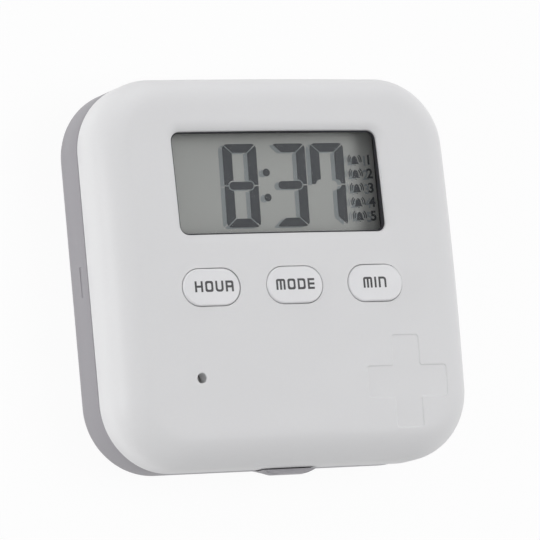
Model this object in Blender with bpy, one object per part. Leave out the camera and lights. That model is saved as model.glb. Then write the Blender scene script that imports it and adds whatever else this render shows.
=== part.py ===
# Pill organizer with an alarm clock in its lid, lying on its back with its face up.
# Metres. +X is the display's right, +Y its top, and +Z comes out of its face.
# The origin is the centre of the flat back.

import math

import bmesh
import bpy
from mathutils import Vector

# Case
case_width = 0.0960
case_height = 0.0950
corner_radius = 0.0173
corner_steps = 8
face_side_steps = 4
case_depth = 0.0275
face_dome_radius = 0.580
face_edge_round = 0.0085
edge_round_steps = 5
face_ring_shares = (0.8, 0.55, 0.28)

# Clearances
gap = 0.0003
overrun = 0.0010

# Tray
tray_wall = 0.0019
tray_floor = 0.0019
tray_edge_round = 0.0027
tray_edge_steps = 3
lip_height = 0.0010
lip_thickness = 0.0008
side_slot_length = 0.0070
side_slot_width = 0.0010
side_slot_depth = 0.0006
side_slot_below_seam = 0.0032
tongue_width = 0.0204
tongue_flat = 0.0080
tongue_proud = 0.0015
tongue_below_seam = 0.0065
tongue_above_seam = 0.0032
tongue_steps = 6

# Dividers
divider_thickness = 0.0014
divider_below_seam = 0.0002
divider_rib_size = 0.0010
divider_rib_below_seam = 0.0023

# Lid hinge
hinge_inset = 0.0012
hinge_below_tray_top = 0.0012
knuckle_radius = 0.0018
hinge_spacing = 0.0400
lid_knuckle_width = 0.0090
tray_knuckle_width = 0.0045
pin_radius = 0.0006
knuckle_web_inset = 0.0002
knuckle_web_thickness = 0.0015
round_sides = 16

# Cover
cover_wall = 0.0018
corner_post_radius = 0.0025
corner_post_from_side = 0.0095
corner_post_from_end = 0.0115
post_sides = 12
screw_hole_depth = 0.0060

# Window and display
window_from_side = 0.02005
window_from_keys = 0.00828
window_from_top = 0.0141
window_radius = 0.0023
window_x = -0.0013
window_steps = 3
window_side_steps = 5
window_rim_overlap = 0.0005
lens_below_corner = 0.0017
lens_thickness = 0.0010
lens_margin = 0.0016
window_rim_margin = 0.0030
glass_thickness = 0.0011
glass_contact_ledge = 0.0026
reflector_thickness = 0.0003
holder_wall = 0.0015
holder_floor = 0.0015
zebra_thickness = 0.0016
zebra_inset = 0.00095

# Keys, from left to right
key_names = ("hour", "mode", "min")
key_pitch = 0.0222
key_x = -0.0008
key_hole_length = 0.0154
key_hole_width = 0.0093
key_from_bay = 0.00922
key_steps = 6
key_proud = 0.0004
key_edge_round = 0.0005
key_flange_below_face = 0.0031
key_flange_thickness = 0.0010
key_flange_margin = 0.0010
key_stem_radius = 0.0015
switch_size = 0.0060
switch_height = 0.0035
switch_bore_depth = 0.0020
plunger_radius = 0.00175
plunger_length = 0.0020
plunger_proud = 0.0010

# Lamp, cross and sounder
lamp_hole_radius = 0.0012
lamp_from_bay = 0.00505
lamp_below_bay_middle = 0.0014
lamp_radius = 0.0015
lamp_foot_radius = 0.0019
lamp_foot_height = 0.0010
cross_from_side = 0.0195
cross_from_bottom = 0.0187
cross_arm = 0.00745
cross_depth = 0.00025
sounder_radius = 0.0070
sounder_height = 0.0050
sounder_hole_radius = 0.0012
sounder_hole_depth = 0.0020
sounder_from_wall = 0.0017
sounder_above_bay_middle = 0.0050

# Circuit board
board_thickness = 0.0012
board_from_side = 0.0125
board_past_holder = 0.0007
board_above_panel = 0.0018
board_tail_margin = 0.0010
board_post_radius = 0.0020
board_post_from_edge = 0.0025
board_post_from_start = 0.00195
end_post_from_edge = 0.0029
end_post_from_end = 0.0075
chip_radius = 0.0040
chip_height = 0.0009
chip_from_end = 0.0225
crystal_radius = 0.0010
crystal_length = 0.0060
capacitor_radius = 0.0016
capacitor_height = 0.0040

# Cells and their bay
cell_radius = 0.00525
cell_length = 0.0445
cell_nub_radius = 0.0019
cell_nub_height = 0.0010
cell_spacing = 0.0110
bay_from_bottom = 0.0225
bay_x = 0.00225
cradle_wall = 0.0012
cradle_below_face = 0.0055
contact_thickness = 0.0004
contact_width = 0.0050
contact_above_panel = 0.0009
contact_drop = 0.0004
spring_length = 0.0022
spring_wire_radius = 0.00025
spring_foot_radius = 0.0030
spring_head_radius = 0.0018
spring_turns = 2
spring_turn_points = 12
weld_distance = 0.000001

# Inner panel and battery door
panel_above_seam = 0.0019
panel_thickness = 0.0012
door_above_seam = 0.0008
door_overlap = 0.0025
door_travel = 0.0250
door_grip_height = 0.0005
door_grip_width = 0.0012
door_grip_length = 0.0160
door_grip_count = 3
door_grip_pitch = 0.0022
door_grip_inset = 0.0020
rail_thickness = 0.0012
rail_lip = 0.0012
rail_lip_thickness = 0.0005

# Screws
screw_head_radius = 0.0017
screw_head_height = 0.0010
screw_slot_width = 0.0005
screw_slot_depth = 0.0004
panel_screw_radius = 0.0007
panel_screw_length = 0.0055
board_screw_radius = 0.0005
board_screw_length = 0.0045

# Places that follow from the sizes above
lip_inset = tray_wall - lip_thickness
skirt_thickness = lip_inset - gap
hinge_y = case_height / 2 - hinge_inset
knuckle_clear_radius = knuckle_radius + gap
pin_hole_radius = pin_radius + gap
corner_post_x = case_width / 2 - corner_post_from_side
corner_post_y = case_height / 2 - corner_post_from_end
bay_y = bay_from_bottom - case_height / 2
bay_length = cell_length + spring_length + 2 * contact_thickness + 5 * gap
bay_width = cell_spacing + 2 * cell_radius + 2 * gap
bay_left = bay_x - bay_length / 2
bay_right = bay_x + bay_length / 2
cell_ys = (bay_y + cell_spacing / 2, bay_y - cell_spacing / 2)
key_y = bay_y + bay_width / 2 + key_from_bay
key_centres = tuple((key_x + step * key_pitch, key_y) for step in (-1, 0, 1))
window_start = key_y + key_hole_width / 2 + window_from_keys
window_end = case_height / 2 - window_from_top
window_width = case_width - 2 * window_from_side
window_height = window_end - window_start
window_y = (window_start + window_end) / 2
lens_width = window_width + 2 * lens_margin
lens_height = window_height + 2 * lens_margin
zebra_length = window_width - 2 * zebra_inset
pocket_width = lens_width + 2 * gap
pocket_height = lens_height + 2 * gap
holder_width = pocket_width + 2 * holder_wall
holder_height = pocket_height + 2 * holder_wall
board_width = case_width - 2 * board_from_side
board_start = bay_y + bay_width / 2 + cradle_wall + gap
board_end = window_y + holder_height / 2 + board_past_holder
board_tail_right = bay_left - cradle_wall - gap
board_tail_start = cell_ys[1] - contact_width / 2 - board_tail_margin
board_post_side = board_width / 2 - board_post_from_edge
board_post_start = board_start + board_post_from_start
board_post_right = board_width / 2 - end_post_from_edge
board_post_end = board_end - end_post_from_end
chip_y = board_end - chip_from_end
lamp_x = bay_left - lamp_from_bay
lamp_y = bay_y - lamp_below_bay_middle
cross_x = case_width / 2 - cross_from_side
cross_y = cross_from_bottom - case_height / 2
sounder_x = case_width / 2 - cover_wall - sounder_from_wall - sounder_radius
sounder_y = bay_y + sounder_above_bay_middle
door_width = bay_length + 2 * door_overlap
door_length = bay_width + 2 * door_overlap


def faceHeight(x, y):
    return case_depth - (x * x + y * y) / (2 * face_dome_radius)


# Heights that follow from the sizes above, from the face down to the tray
lens_top = faceHeight(abs(window_x) + window_width / 2, window_end) - lens_below_corner
window_floor = lens_top + gap
front_glass_top = lens_top - lens_thickness - gap
rear_glass_top = front_glass_top - glass_thickness - gap
reflector_top = rear_glass_top - glass_thickness - gap
pocket_floor = reflector_top - reflector_thickness - gap
board_top = pocket_floor - holder_floor - gap
board_bottom = board_top - board_thickness
on_board = board_top + gap
panel_top = board_bottom - board_above_panel
panel_bottom = panel_top - panel_thickness
on_panel = panel_top + gap
seam_height = panel_bottom - panel_above_seam
tray_top = seam_height - gap
hinge_z = tray_top - hinge_below_tray_top
cradle_top = case_depth - cradle_below_face
contact_bottom = panel_top + contact_above_panel
cell_height = panel_bottom + cell_radius
door_bottom = seam_height + door_above_seam
door_top = panel_bottom - gap
key_flange_top = case_depth - key_flange_below_face
switch_top = on_board + switch_height
plunger_top = switch_top + plunger_proud


# Shapes

# Arcs at the corners, and extra points along the sides where these are divided.
def roundedRectangle(width, height, radius, steps, x=0, y=0, side_steps=1):
    corners = []
    for corner, (side, end) in enumerate(((1, 1), (-1, 1), (-1, -1), (1, -1))):
        centre = Vector((x + side * (width / 2 - radius), y + end * (height / 2 - radius)))
        angles = [math.pi / 2 * (corner + step / steps) for step in range(steps + 1)]
        corners.append([centre + radius * Vector((math.cos(angle), math.sin(angle))) for angle in angles])
    outline = []
    for arc, after in zip(corners, corners[1:] + corners[:1]):
        outline += arc
        outline += [arc[-1].lerp(after[0], step / side_steps) for step in range(1, side_steps)]
    return [(point.x, point.y) for point in outline]


def caseOutline(inset, side_steps=1):
    width = case_width - 2 * inset
    height = case_height - 2 * inset
    return roundedRectangle(width, height, corner_radius - inset, corner_steps, side_steps=side_steps)


def flatRing(outline, height):
    return [Vector((x, y, height)) for x, y in outline]


def newObject(name, mesh, material):
    item = bpy.data.objects.new(name, mesh)
    bpy.context.scene.collection.objects.link(item)
    if material:
        mesh.materials.append(material)
    return item


def finishMesh(name, shape, material, smooth=False):
    bmesh.ops.recalc_face_normals(shape, faces=shape.faces)
    mesh = bpy.data.meshes.new(name)
    shape.to_mesh(mesh)
    shape.free()
    if smooth:
        mesh.shade_smooth()
        mesh.set_sharp_from_angle(angle=math.radians(35))
    return newObject(name, mesh, material)


# Rings of equal count are bridged in turn. Each end closes flat, or in a fan when an apex is given.
def loft(name, rings, material, first_apex=None, last_apex=None, smooth=False):
    shape = bmesh.new()
    loops = [[shape.verts.new(point) for point in ring] for ring in rings]
    for lower, upper in zip(loops, loops[1:]):
        for index in range(len(lower)):
            after = (index + 1) % len(lower)
            shape.faces.new((lower[index], lower[after], upper[after], upper[index]))
    for loop, apex in ((loops[0], first_apex), (loops[-1], last_apex)):
        if apex is None:
            shape.faces.new(loop)
            continue
        tip = shape.verts.new(apex)
        for index in range(len(loop)):
            shape.faces.new((loop[index], loop[(index + 1) % len(loop)], tip))
    return finishMesh(name, shape, material, smooth)


# Rings of equal count are bridged in turn, and the last one joins the first.
def hoop(name, rings):
    shape = bmesh.new()
    loops = [[shape.verts.new(point) for point in ring] for ring in rings]
    for lower, upper in zip(loops, loops[1:] + loops[:1]):
        for index in range(len(lower)):
            after = (index + 1) % len(lower)
            shape.faces.new((lower[index], lower[after], upper[after], upper[index]))
    return finishMesh(name, shape, None)


def prism(name, outline, bottom, top, material=None, smooth=False):
    return loft(name, [flatRing(outline, bottom), flatRing(outline, top)], material, smooth=smooth)


def box(name, low, high, material=None):
    outline = [(low[0], low[1]), (high[0], low[1]), (high[0], high[1]), (low[0], high[1])]
    return prism(name, outline, low[2], high[2], material)


def circle(radius, sides, x=0, y=0):
    angles = [2 * math.pi * index / sides for index in range(sides)]
    return [(x + radius * math.cos(angle), y + radius * math.sin(angle)) for angle in angles]


def post(name, x, y, radius, bottom, top, material=None, sides=round_sides):
    return prism(name, circle(radius, sides, x, y), bottom, top, material, smooth=True)


# A round bar along X.
def bar(name, left, right, radius, y, z, material=None, sides=round_sides):
    around = circle(radius, sides, y, z)
    rings = [[Vector((x, across, up)) for across, up in around] for x in (left, right)]
    return loft(name, rings, material, smooth=True)


# A profile in Y and Z, pulled along X.
def strip(name, profile, left, right, material=None):
    rings = [[Vector((x, y, z)) for y, z in profile] for x in (left, right)]
    return loft(name, rings, material)


# A profile in X and Z, pulled along Y.
def ribbon(name, profile, start, end, material=None):
    rings = [[Vector((x, y, z)) for x, z in profile] for y in (start, end)]
    return loft(name, rings, material)


def asGuide(item):
    item.hide_render = True
    item.display_type = "WIRE"
    return item


def combine(target, tools, operation):
    for tool in tools:
        modifier = target.modifiers.new(tool.name, "BOOLEAN")
        modifier.object = asGuide(tool)
        modifier.operation = operation
        modifier.solver = "EXACT"


def add(target, *tools):
    combine(target, tools, "UNION")


def cut(target, *tools):
    combine(target, tools, "DIFFERENCE")


def makeMaterial(name, colour, roughness, metallic=0, alpha=1):
    material = bpy.data.materials.new(name)
    material.use_nodes = True
    shader = material.node_tree.nodes["Principled BSDF"]
    shader.inputs["Base Color"].default_value = (*colour, 1)
    shader.inputs["Roughness"].default_value = roughness
    shader.inputs["Metallic"].default_value = metallic
    shader.inputs["Alpha"].default_value = alpha
    return material


# Tray

def hingeCentres():
    return (-hinge_spacing / 2, hinge_spacing / 2)


def tongueProfile(share):
    ramp = (1 - share) * (tongue_width / 2) / (tongue_width / 2 - tongue_flat / 2)
    rise = min(1, ramp)
    return tongue_proud * rise * rise * (3 - 2 * rise)


def makeTongue():
    front = -case_height / 2
    shares = [step / tongue_steps for step in range(-tongue_steps, tongue_steps + 1)]
    outline = [(share * tongue_width / 2, front - tongueProfile(abs(share))) for share in shares]
    outline += [(tongue_width / 2, front + tray_wall / 2), (-tongue_width / 2, front + tray_wall / 2)]
    bottom = seam_height - tongue_below_seam
    tongue = prism("tongue_form", outline, bottom, seam_height + tongue_above_seam)
    low = (-tongue_width, front - gap, tray_top)
    high = (tongue_width, front + tray_wall + overrun, seam_height + tongue_above_seam + overrun)
    cut(tongue, box("tongue_clearance", low, high))
    return tongue


def makeTrayKnuckles():
    knuckles = []
    for centre in hingeCentres():
        for side in (-1, 1):
            near = centre + side * (lid_knuckle_width / 2 + gap)
            far = near + side * tray_knuckle_width
            name = "tray_knuckle_%d" % len(knuckles)
            knuckles.append(bar(name, min(near, far), max(near, far), knuckle_radius, hinge_y, hinge_z))
    return knuckles


# The edge beside the hinge is rounded about the hinge line, so that the open lid passes it.
def makeTrayEdgeRelief():
    reach = case_width / 2
    outer = case_height / 2 + overrun
    profile = [(hinge_y, tray_top + overrun + lip_height), (hinge_y, tray_top)]
    for step in range(1, tray_edge_steps):
        angle = math.pi / 2 * step / tray_edge_steps
        y = hinge_y + hinge_inset * math.sin(angle)
        z = hinge_z + hinge_below_tray_top * math.cos(angle)
        profile.append((y, z))
    profile += [(hinge_y + hinge_inset, hinge_z), (outer, hinge_z), (outer, tray_top + overrun + lip_height)]
    return strip("tray_edge_relief", profile, -reach, reach)


def makeKnuckleNotches():
    notches = []
    for centre in hingeCentres():
        half = lid_knuckle_width / 2 + gap
        low = (centre - half, hinge_y - knuckle_clear_radius, hinge_z - knuckle_clear_radius)
        high = (centre + half, case_height / 2 + overrun, tray_top + lip_height + overrun)
        notches.append(box("knuckle_notch_%d" % len(notches), low, high))
    return notches


def makePinHoles(owner):
    half = lid_knuckle_width / 2 + tray_knuckle_width + overrun
    return [
        bar("%s_pin_hole_%d" % (owner, index), centre - half, centre + half, pin_hole_radius, hinge_y, hinge_z)
        for index, centre in enumerate(hingeCentres())
    ]


def makeSideSlots():
    slots = []
    middle = tray_top - side_slot_below_seam
    for side in (-1, 1):
        face = side * case_width / 2
        inner = face - side * side_slot_depth
        outer = face + side * overrun
        low = (min(inner, outer), -side_slot_length / 2, middle - side_slot_width / 2)
        high = (max(inner, outer), side_slot_length / 2, middle + side_slot_width / 2)
        slots.append(box("side_slot_%d" % len(slots), low, high))
    return slots


# Two ribs hold each end of each divider.
def makeDividerRibs():
    ribs = []
    near = divider_thickness / 2 + gap
    far = near + divider_rib_size
    bottom = tray_floor - overrun
    top = tray_top - divider_rib_below_seam
    for reach, turned in ((case_width / 2 - tray_wall, False), (case_height / 2 - tray_wall, True)):
        for end in (-1, 1):
            for side in (-1, 1):
                along = sorted((end * (reach - divider_rib_size), end * (reach + tray_wall / 2)))
                across = sorted((side * near, side * far))
                first, second = (across, along) if turned else (along, across)
                low = (first[0], second[0], bottom)
                high = (first[1], second[1], top)
                ribs.append(box("divider_rib_%d" % len(ribs), low, high))
    return ribs


def makeTray(material):
    rings = []
    for step in range(tray_edge_steps + 1):
        angle = math.pi / 2 * step / tray_edge_steps
        inset = tray_edge_round * (1 - math.sin(angle))
        rings.append(flatRing(caseOutline(inset), tray_edge_round * (1 - math.cos(angle))))
    rings.append(flatRing(caseOutline(0), tray_top))
    rings.append(flatRing(caseOutline(lip_inset), tray_top))
    rings.append(flatRing(caseOutline(lip_inset), tray_top + lip_height))
    rings.append(flatRing(caseOutline(tray_wall), tray_top + lip_height))
    rings.append(flatRing(caseOutline(tray_wall), tray_floor))
    tray = loft("rear_tray", rings, material, smooth=True)
    cut(tray, makeTrayEdgeRelief())
    add(tray, *makeTrayKnuckles(), makeTongue(), *makeDividerRibs())
    cut(tray, *makeKnuckleNotches(), *makePinHoles("tray"), *makeSideSlots())
    return tray


def makeDividers(material):
    bottom = tray_floor + gap
    top = tray_top - divider_below_seam
    middle = (bottom + top) / 2
    half = divider_thickness / 2
    slot = half + gap
    reach_x = case_width / 2 - tray_wall - gap
    reach_y = case_height / 2 - tray_wall - gap
    long_one = box("divider_long", (-reach_x, -half, bottom), (reach_x, half, top), material)
    low = (-slot, -half - overrun, middle - gap / 2)
    cut(long_one, box("divider_long_notch", low, (slot, half + overrun, top + overrun)))
    short_one = box("divider_short", (-half, -reach_y, bottom), (half, reach_y, top), material)
    high = (half + overrun, slot, middle + gap / 2)
    cut(short_one, box("divider_short_notch", (-half - overrun, -slot, bottom - overrun), high))


def makeHingePins(material):
    half = lid_knuckle_width / 2 + tray_knuckle_width
    for side, centre in zip(("left", "right"), hingeCentres()):
        name = "hinge_pin_" + side
        bar(name, centre - half, centre + half, pin_radius, hinge_y, hinge_z, material)


# Cover

# Rings of the cover's skin, from the seam to the middle of the face, for the outer or the inner side.
def coverSkin(inset, drop, start):
    radius = face_edge_round - inset
    top_outline = caseOutline(inset + radius, face_side_steps)
    heights = [faceHeight(x, y) - drop for x, y in top_outline]
    rings = [flatRing(caseOutline(inset, face_side_steps), start)]
    for step in range(edge_round_steps + 1):
        angle = math.pi / 2 * step / edge_round_steps
        outline = caseOutline(inset + radius * (1 - math.cos(angle)), face_side_steps)
        lift = radius * (math.sin(angle) - 1)
        rings.append([Vector((x, y, height + lift)) for (x, y), height in zip(outline, heights)])
    for share in face_ring_shares:
        places = [(share * x, share * y) for x, y in top_outline]
        rings.append([Vector((x, y, faceHeight(x, y) - drop)) for x, y in places])
    return rings


def windowOutline(margin):
    width = window_width + 2 * margin
    height = window_height + 2 * margin
    radius = window_radius + margin
    return roundedRectangle(width, height, radius, window_steps, window_x, window_y, window_side_steps)


# A rim round the window reaches from the skin down to the lens.
def makeWindowRim():
    outer = windowOutline(window_rim_margin)
    inner = windowOutline(-window_rim_overlap)
    inside = cover_wall / 2
    rings = [flatRing(outer, window_floor)]
    for outline in (outer, inner):
        rings.append([Vector((x, y, faceHeight(x, y) - inside)) for x, y in outline])
    rings.append(flatRing(inner, window_floor))
    return hoop("window_rim", rings)


def makeDisplayPocket():
    across = holder_width / 2 + gap
    along = holder_height / 2 + gap
    low = (window_x - across, window_y - along, on_board)
    return box("display_pocket", low, (window_x + across, window_y + along, window_floor))


def makeWindowOpening():
    return prism("window_opening", windowOutline(0), window_floor - 2 * overrun, case_depth + overrun)


def keyOutline(x, y, margin):
    width = key_hole_width + 2 * margin
    return roundedRectangle(key_hole_length + 2 * margin, width, width / 2, key_steps, x, y)


def makeKeyHoles():
    bottom = key_flange_top
    return [
        prism("key_hole_" + name, keyOutline(x, y, 0), bottom, case_depth + overrun)
        for name, (x, y) in zip(key_names, key_centres)
    ]


def postPlaces():
    corners = [(side * corner_post_x, end * corner_post_y) for side in (-1, 1) for end in (-1, 1)]
    boards = [(-board_post_side, board_post_start), (board_post_side, board_post_start)]
    boards.append((board_post_right, board_post_end))
    return corners, boards


def makeCoverPosts():
    corners, boards = postPlaces()
    inside = cover_wall / 2
    posts = []
    holes = []
    groups = (
        (corners, corner_post_radius, on_panel, panel_screw_radius),
        (boards, board_post_radius, on_board, board_screw_radius),
    )
    for places, radius, bottom, screw_radius in groups:
        for x, y in places:
            number = len(posts)
            edge = faceHeight(abs(x) + radius, abs(y) + radius)
            top = edge - inside
            posts.append(post("post_%d" % number, x, y, radius, bottom, top, sides=post_sides))
            hole_top = bottom + screw_hole_depth
            hole_radius = screw_radius + gap
            name = "post_hole_%d" % number
            holes.append(post(name, x, y, hole_radius, bottom - overrun, hole_top, sides=post_sides))
    return posts, holes


# A shallow plus whose floor follows the face.
def makeCrossRecess():
    shape = bmesh.new()
    places = [-3 * cross_arm / 2, -cross_arm / 2, cross_arm / 2, 3 * cross_arm / 2]
    grid = {}

    def corner(column, row):
        if (column, row) not in grid:
            x = cross_x + places[column]
            y = cross_y + places[row]
            grid[column, row] = shape.verts.new((x, y, faceHeight(x, y) - cross_depth))
        return grid[column, row]

    for column, row in ((1, 0), (0, 1), (1, 1), (2, 1), (1, 2)):
        around = ((column, row), (column + 1, row), (column + 1, row + 1), (column, row + 1))
        shape.faces.new([corner(*place) for place in around])
    raised = bmesh.ops.extrude_face_region(shape, geom=list(shape.faces))
    lifted = [item for item in raised["geom"] if isinstance(item, bmesh.types.BMVert)]
    bmesh.ops.translate(shape, verts=lifted, vec=(0, 0, cross_depth + overrun))
    return finishMesh("cross_recess", shape, None)


def makeLidKnuckles():
    parts = []
    half = lid_knuckle_width / 2
    back = case_height / 2 - knuckle_web_inset
    for centre in hingeCentres():
        number = len(parts)
        name = "lid_knuckle_%d" % number
        parts.append(bar(name, centre - half, centre + half, knuckle_radius, hinge_y, hinge_z))
        low = (centre - half, back - knuckle_web_thickness, hinge_z)
        high = (centre + half, back, seam_height + lip_height + gap + overrun)
        parts.append(box("lid_knuckle_web_%d" % number, low, high))
    return parts


# The lower edge beside the hinge slopes away, and rounds out over the tray's knuckles.
def makeLidEdgeRelief():
    outer = case_height / 2 + overrun
    drop = seam_height - overrun
    profile = [(hinge_y, seam_height), (outer, seam_height + outer - hinge_y), (outer, drop), (hinge_y, drop)]
    reliefs = [strip("lid_edge_relief", profile, -case_width / 2, case_width / 2)]
    for centre in hingeCentres():
        for side in (-1, 1):
            near = centre + side * lid_knuckle_width / 2
            far = near + side * (tray_knuckle_width + 2 * gap)
            name = "lid_edge_round_%d" % len(reliefs)
            ends = (min(near, far), max(near, far))
            reliefs.append(bar(name, *ends, knuckle_clear_radius, hinge_y, hinge_z))
    return reliefs


def makeCover(material):
    step_height = seam_height + lip_height
    outer = coverSkin(0, 0, seam_height)
    inner = coverSkin(cover_wall, cover_wall, step_height)
    rings = list(reversed(outer))
    rings.append(flatRing(caseOutline(skirt_thickness, face_side_steps), seam_height))
    rings.append(flatRing(caseOutline(skirt_thickness, face_side_steps), step_height))
    rings += inner
    top = Vector((0, 0, case_depth))
    cover = loft(
        "front_cover", rings, material, first_apex=top, last_apex=top - Vector((0, 0, cover_wall)), smooth=True
    )
    posts, holes = makeCoverPosts()
    cut(cover, makeDisplayPocket())
    add(cover, makeWindowRim(), *posts)
    cut(cover, *makeLidEdgeRelief())
    add(cover, *makeLidKnuckles())
    lamp_hole_bottom = lens_top - cover_wall
    lamp_hole = post("lamp_hole", lamp_x, lamp_y, lamp_hole_radius, lamp_hole_bottom, case_depth + overrun)
    cut(cover, makeWindowOpening(), *makeKeyHoles(), lamp_hole)
    cut(cover, makeCrossRecess(), *holes, *makePinHoles("lid"))
    return cover


# Display

def displayPlate(name, top, thickness, material, start_trim=0):
    low_x = window_x - lens_width / 2
    high_x = window_x + lens_width / 2
    low_y = window_y - lens_height / 2 + start_trim
    high_y = window_y + lens_height / 2
    return box(name, (low_x, low_y, top - thickness), (high_x, high_y, top), material)


def makeDisplay(lens, glass, reflector):
    displayPlate("display_lens", lens_top, lens_thickness, lens)
    displayPlate("lcd_front_glass", front_glass_top, glass_thickness, glass)
    displayPlate("lcd_rear_glass", rear_glass_top, glass_thickness, glass, glass_contact_ledge)
    displayPlate("lcd_reflector", reflector_top, reflector_thickness, reflector, glass_contact_ledge)


def zebraPlace():
    near = window_y - lens_height / 2 + (glass_contact_ledge - zebra_thickness) / 2
    return near, near + zebra_thickness


def makeHolder(material):
    across = holder_width / 2
    along = holder_height / 2
    low = (window_x - across, window_y - along, on_board)
    holder = box("lcd_holder", low, (window_x + across, window_y + along, lens_top), material)
    across = pocket_width / 2
    along = pocket_height / 2
    low = (window_x - across, window_y - along, pocket_floor)
    pocket = box("holder_pocket", low, (window_x + across, window_y + along, lens_top + overrun))
    near, far = zebraPlace()
    half = zebra_length / 2 + gap
    low = (window_x - half, near - gap, on_board - overrun)
    slot = box("zebra_slot", low, (window_x + half, far + gap, pocket_floor + overrun))
    cut(holder, pocket, slot)


def makeZebra(material):
    near, far = zebraPlace()
    low = (window_x - zebra_length / 2, near, on_board)
    high = (window_x + zebra_length / 2, far, front_glass_top - glass_thickness - gap)
    box("zebra_strip", low, high, material)


# Keys and their switches

def makeKey(name, x, y, material):
    top = faceHeight(x, y) + key_proud
    body = keyOutline(x, y, -gap)
    inner = keyOutline(x, y, -gap - key_edge_round)
    flange = keyOutline(x, y, key_flange_margin)
    flange_bottom = key_flange_top - key_flange_thickness
    rings = [
        flatRing(flange, flange_bottom),
        flatRing(flange, key_flange_top),
        flatRing(body, key_flange_top),
        flatRing(body, top - key_edge_round),
        flatRing(inner, top),
    ]
    cap = loft("keycap_" + name, rings, material, smooth=True)
    stem_top = key_flange_top - key_flange_thickness / 2
    add(cap, post("stem_" + name, x, y, key_stem_radius, plunger_top + gap, stem_top, sides=post_sides))


def makeSwitch(name, x, y, body_material, plunger_material):
    half = switch_size / 2
    low = (x - half, y - half, on_board)
    body = box("switch_body_" + name, low, (x + half, y + half, switch_top), body_material)
    bore_bottom = switch_top - switch_bore_depth
    cut(body, post("switch_bore_" + name, x, y, plunger_radius + gap, bore_bottom, switch_top + overrun))
    plunger_bottom = plunger_top - plunger_length
    post("switch_plunger_" + name, x, y, plunger_radius, plunger_bottom, plunger_top, plunger_material)


# Circuit board and what stands on it

def makeBoard(material):
    side = board_width / 2
    outline = [(-side, board_tail_start), (board_tail_right, board_tail_start)]
    outline += [(board_tail_right, board_start), (side, board_start), (side, board_end), (-side, board_end)]
    board = prism("circuit_board", outline, board_bottom, board_top, material)
    boards = postPlaces()[1]
    radius = board_screw_radius + gap
    for number, (x, y) in enumerate(boards):
        cut(board, post("board_hole_%d" % number, x, y, radius, board_bottom - overrun, board_top + overrun))


def makeLamp(material):
    inner_face = faceHeight(lamp_x, lamp_y) - cover_wall
    shoulder = inner_face - gap - lamp_radius - overrun
    foot_top = on_board + lamp_foot_height
    steps = edge_round_steps
    rings = [flatRing(circle(lamp_foot_radius, round_sides, lamp_x, lamp_y), on_board)]
    rings.append(flatRing(circle(lamp_foot_radius, round_sides, lamp_x, lamp_y), foot_top))
    rings.append(flatRing(circle(lamp_radius, round_sides, lamp_x, lamp_y), foot_top))
    for step in range(steps):
        angle = math.pi / 2 * step / steps
        around = circle(lamp_radius * math.cos(angle), round_sides, lamp_x, lamp_y)
        rings.append(flatRing(around, shoulder + lamp_radius * math.sin(angle)))
    tip = Vector((lamp_x, lamp_y, shoulder + lamp_radius))
    loft("led_lamp", rings, material, last_apex=tip, smooth=True)


def makeSounder(material):
    top = on_panel + sounder_height
    sounder = post("sounder", sounder_x, sounder_y, sounder_radius, on_panel, top, material)
    bottom = top - sounder_hole_depth
    cut(sounder, post("sounder_hole", sounder_x, sounder_y, sounder_hole_radius, bottom, top + overrun))


def makeBoardParts(resin, metal, sleeve):
    middle = key_pitch / 2
    chip_top = board_bottom - gap
    post("chip_cover", 0, chip_y, chip_radius, chip_top - chip_height, chip_top, resin)
    half = crystal_length / 2
    around = circle(crystal_radius, post_sides, -middle, on_board + crystal_radius)
    rings = [[Vector((x, y, z)) for x, z in around] for y in (key_y - half, key_y + half)]
    loft("crystal_can", rings, metal, smooth=True)
    post("capacitor", middle, key_y, capacitor_radius, on_board, on_board + capacitor_height, sleeve)


# Cells, cradle and contacts

def makeCells(material):
    near = bay_left + contact_thickness + 2 * gap
    far = bay_right - contact_thickness - 2 * gap
    for name, y, tip, direction in (("upper", cell_ys[0], near, 1), ("lower", cell_ys[1], far, -1)):
        shoulder = tip + direction * cell_nub_height
        end = tip + direction * cell_length
        stations = ((tip, cell_nub_radius), (shoulder, cell_nub_radius))
        stations += ((shoulder, cell_radius), (end, cell_radius))
        rings = []
        for x, radius in stations:
            around = circle(radius, round_sides, y, cell_height)
            rings.append([Vector((x, across, up)) for across, up in around])
        loft("battery_cell_" + name, rings, material, smooth=True)


def makeCradle(material):
    across = bay_width / 2
    low = (bay_left - cradle_wall, bay_y - across - cradle_wall, on_panel)
    high = (bay_right + cradle_wall, bay_y + across + cradle_wall, cradle_top)
    cradle = box("battery_cradle", low, high, material)
    low = (bay_left, bay_y - across, on_panel - overrun)
    cut(cradle, box("cradle_bay", low, (bay_right, bay_y + across, cradle_top + overrun)))


# A plate at the bay's left end, bent over the wall and down to the board's tail.
def makeContact(name, y, material):
    plate = bay_left + gap
    over = cradle_top + gap
    outside = bay_left - cradle_wall - gap
    foot = on_board
    profile = [
        (plate, contact_bottom),
        (plate + contact_thickness, contact_bottom),
        (plate + contact_thickness, over + contact_thickness),
        (outside - contact_thickness, over + contact_thickness),
        (outside - contact_thickness, foot),
        (outside, foot),
        (outside, over),
        (plate, over),
    ]
    ribbon(name, profile, y - contact_width / 2, y + contact_width / 2, material)


def makeBridge(material):
    half = cell_spacing / 2 + contact_width / 2
    low = (bay_right - gap - contact_thickness, bay_y - half, contact_bottom)
    high = (bay_right - gap, bay_y + half, cradle_top - contact_drop)
    box("contact_bridge", low, high, material)


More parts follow.
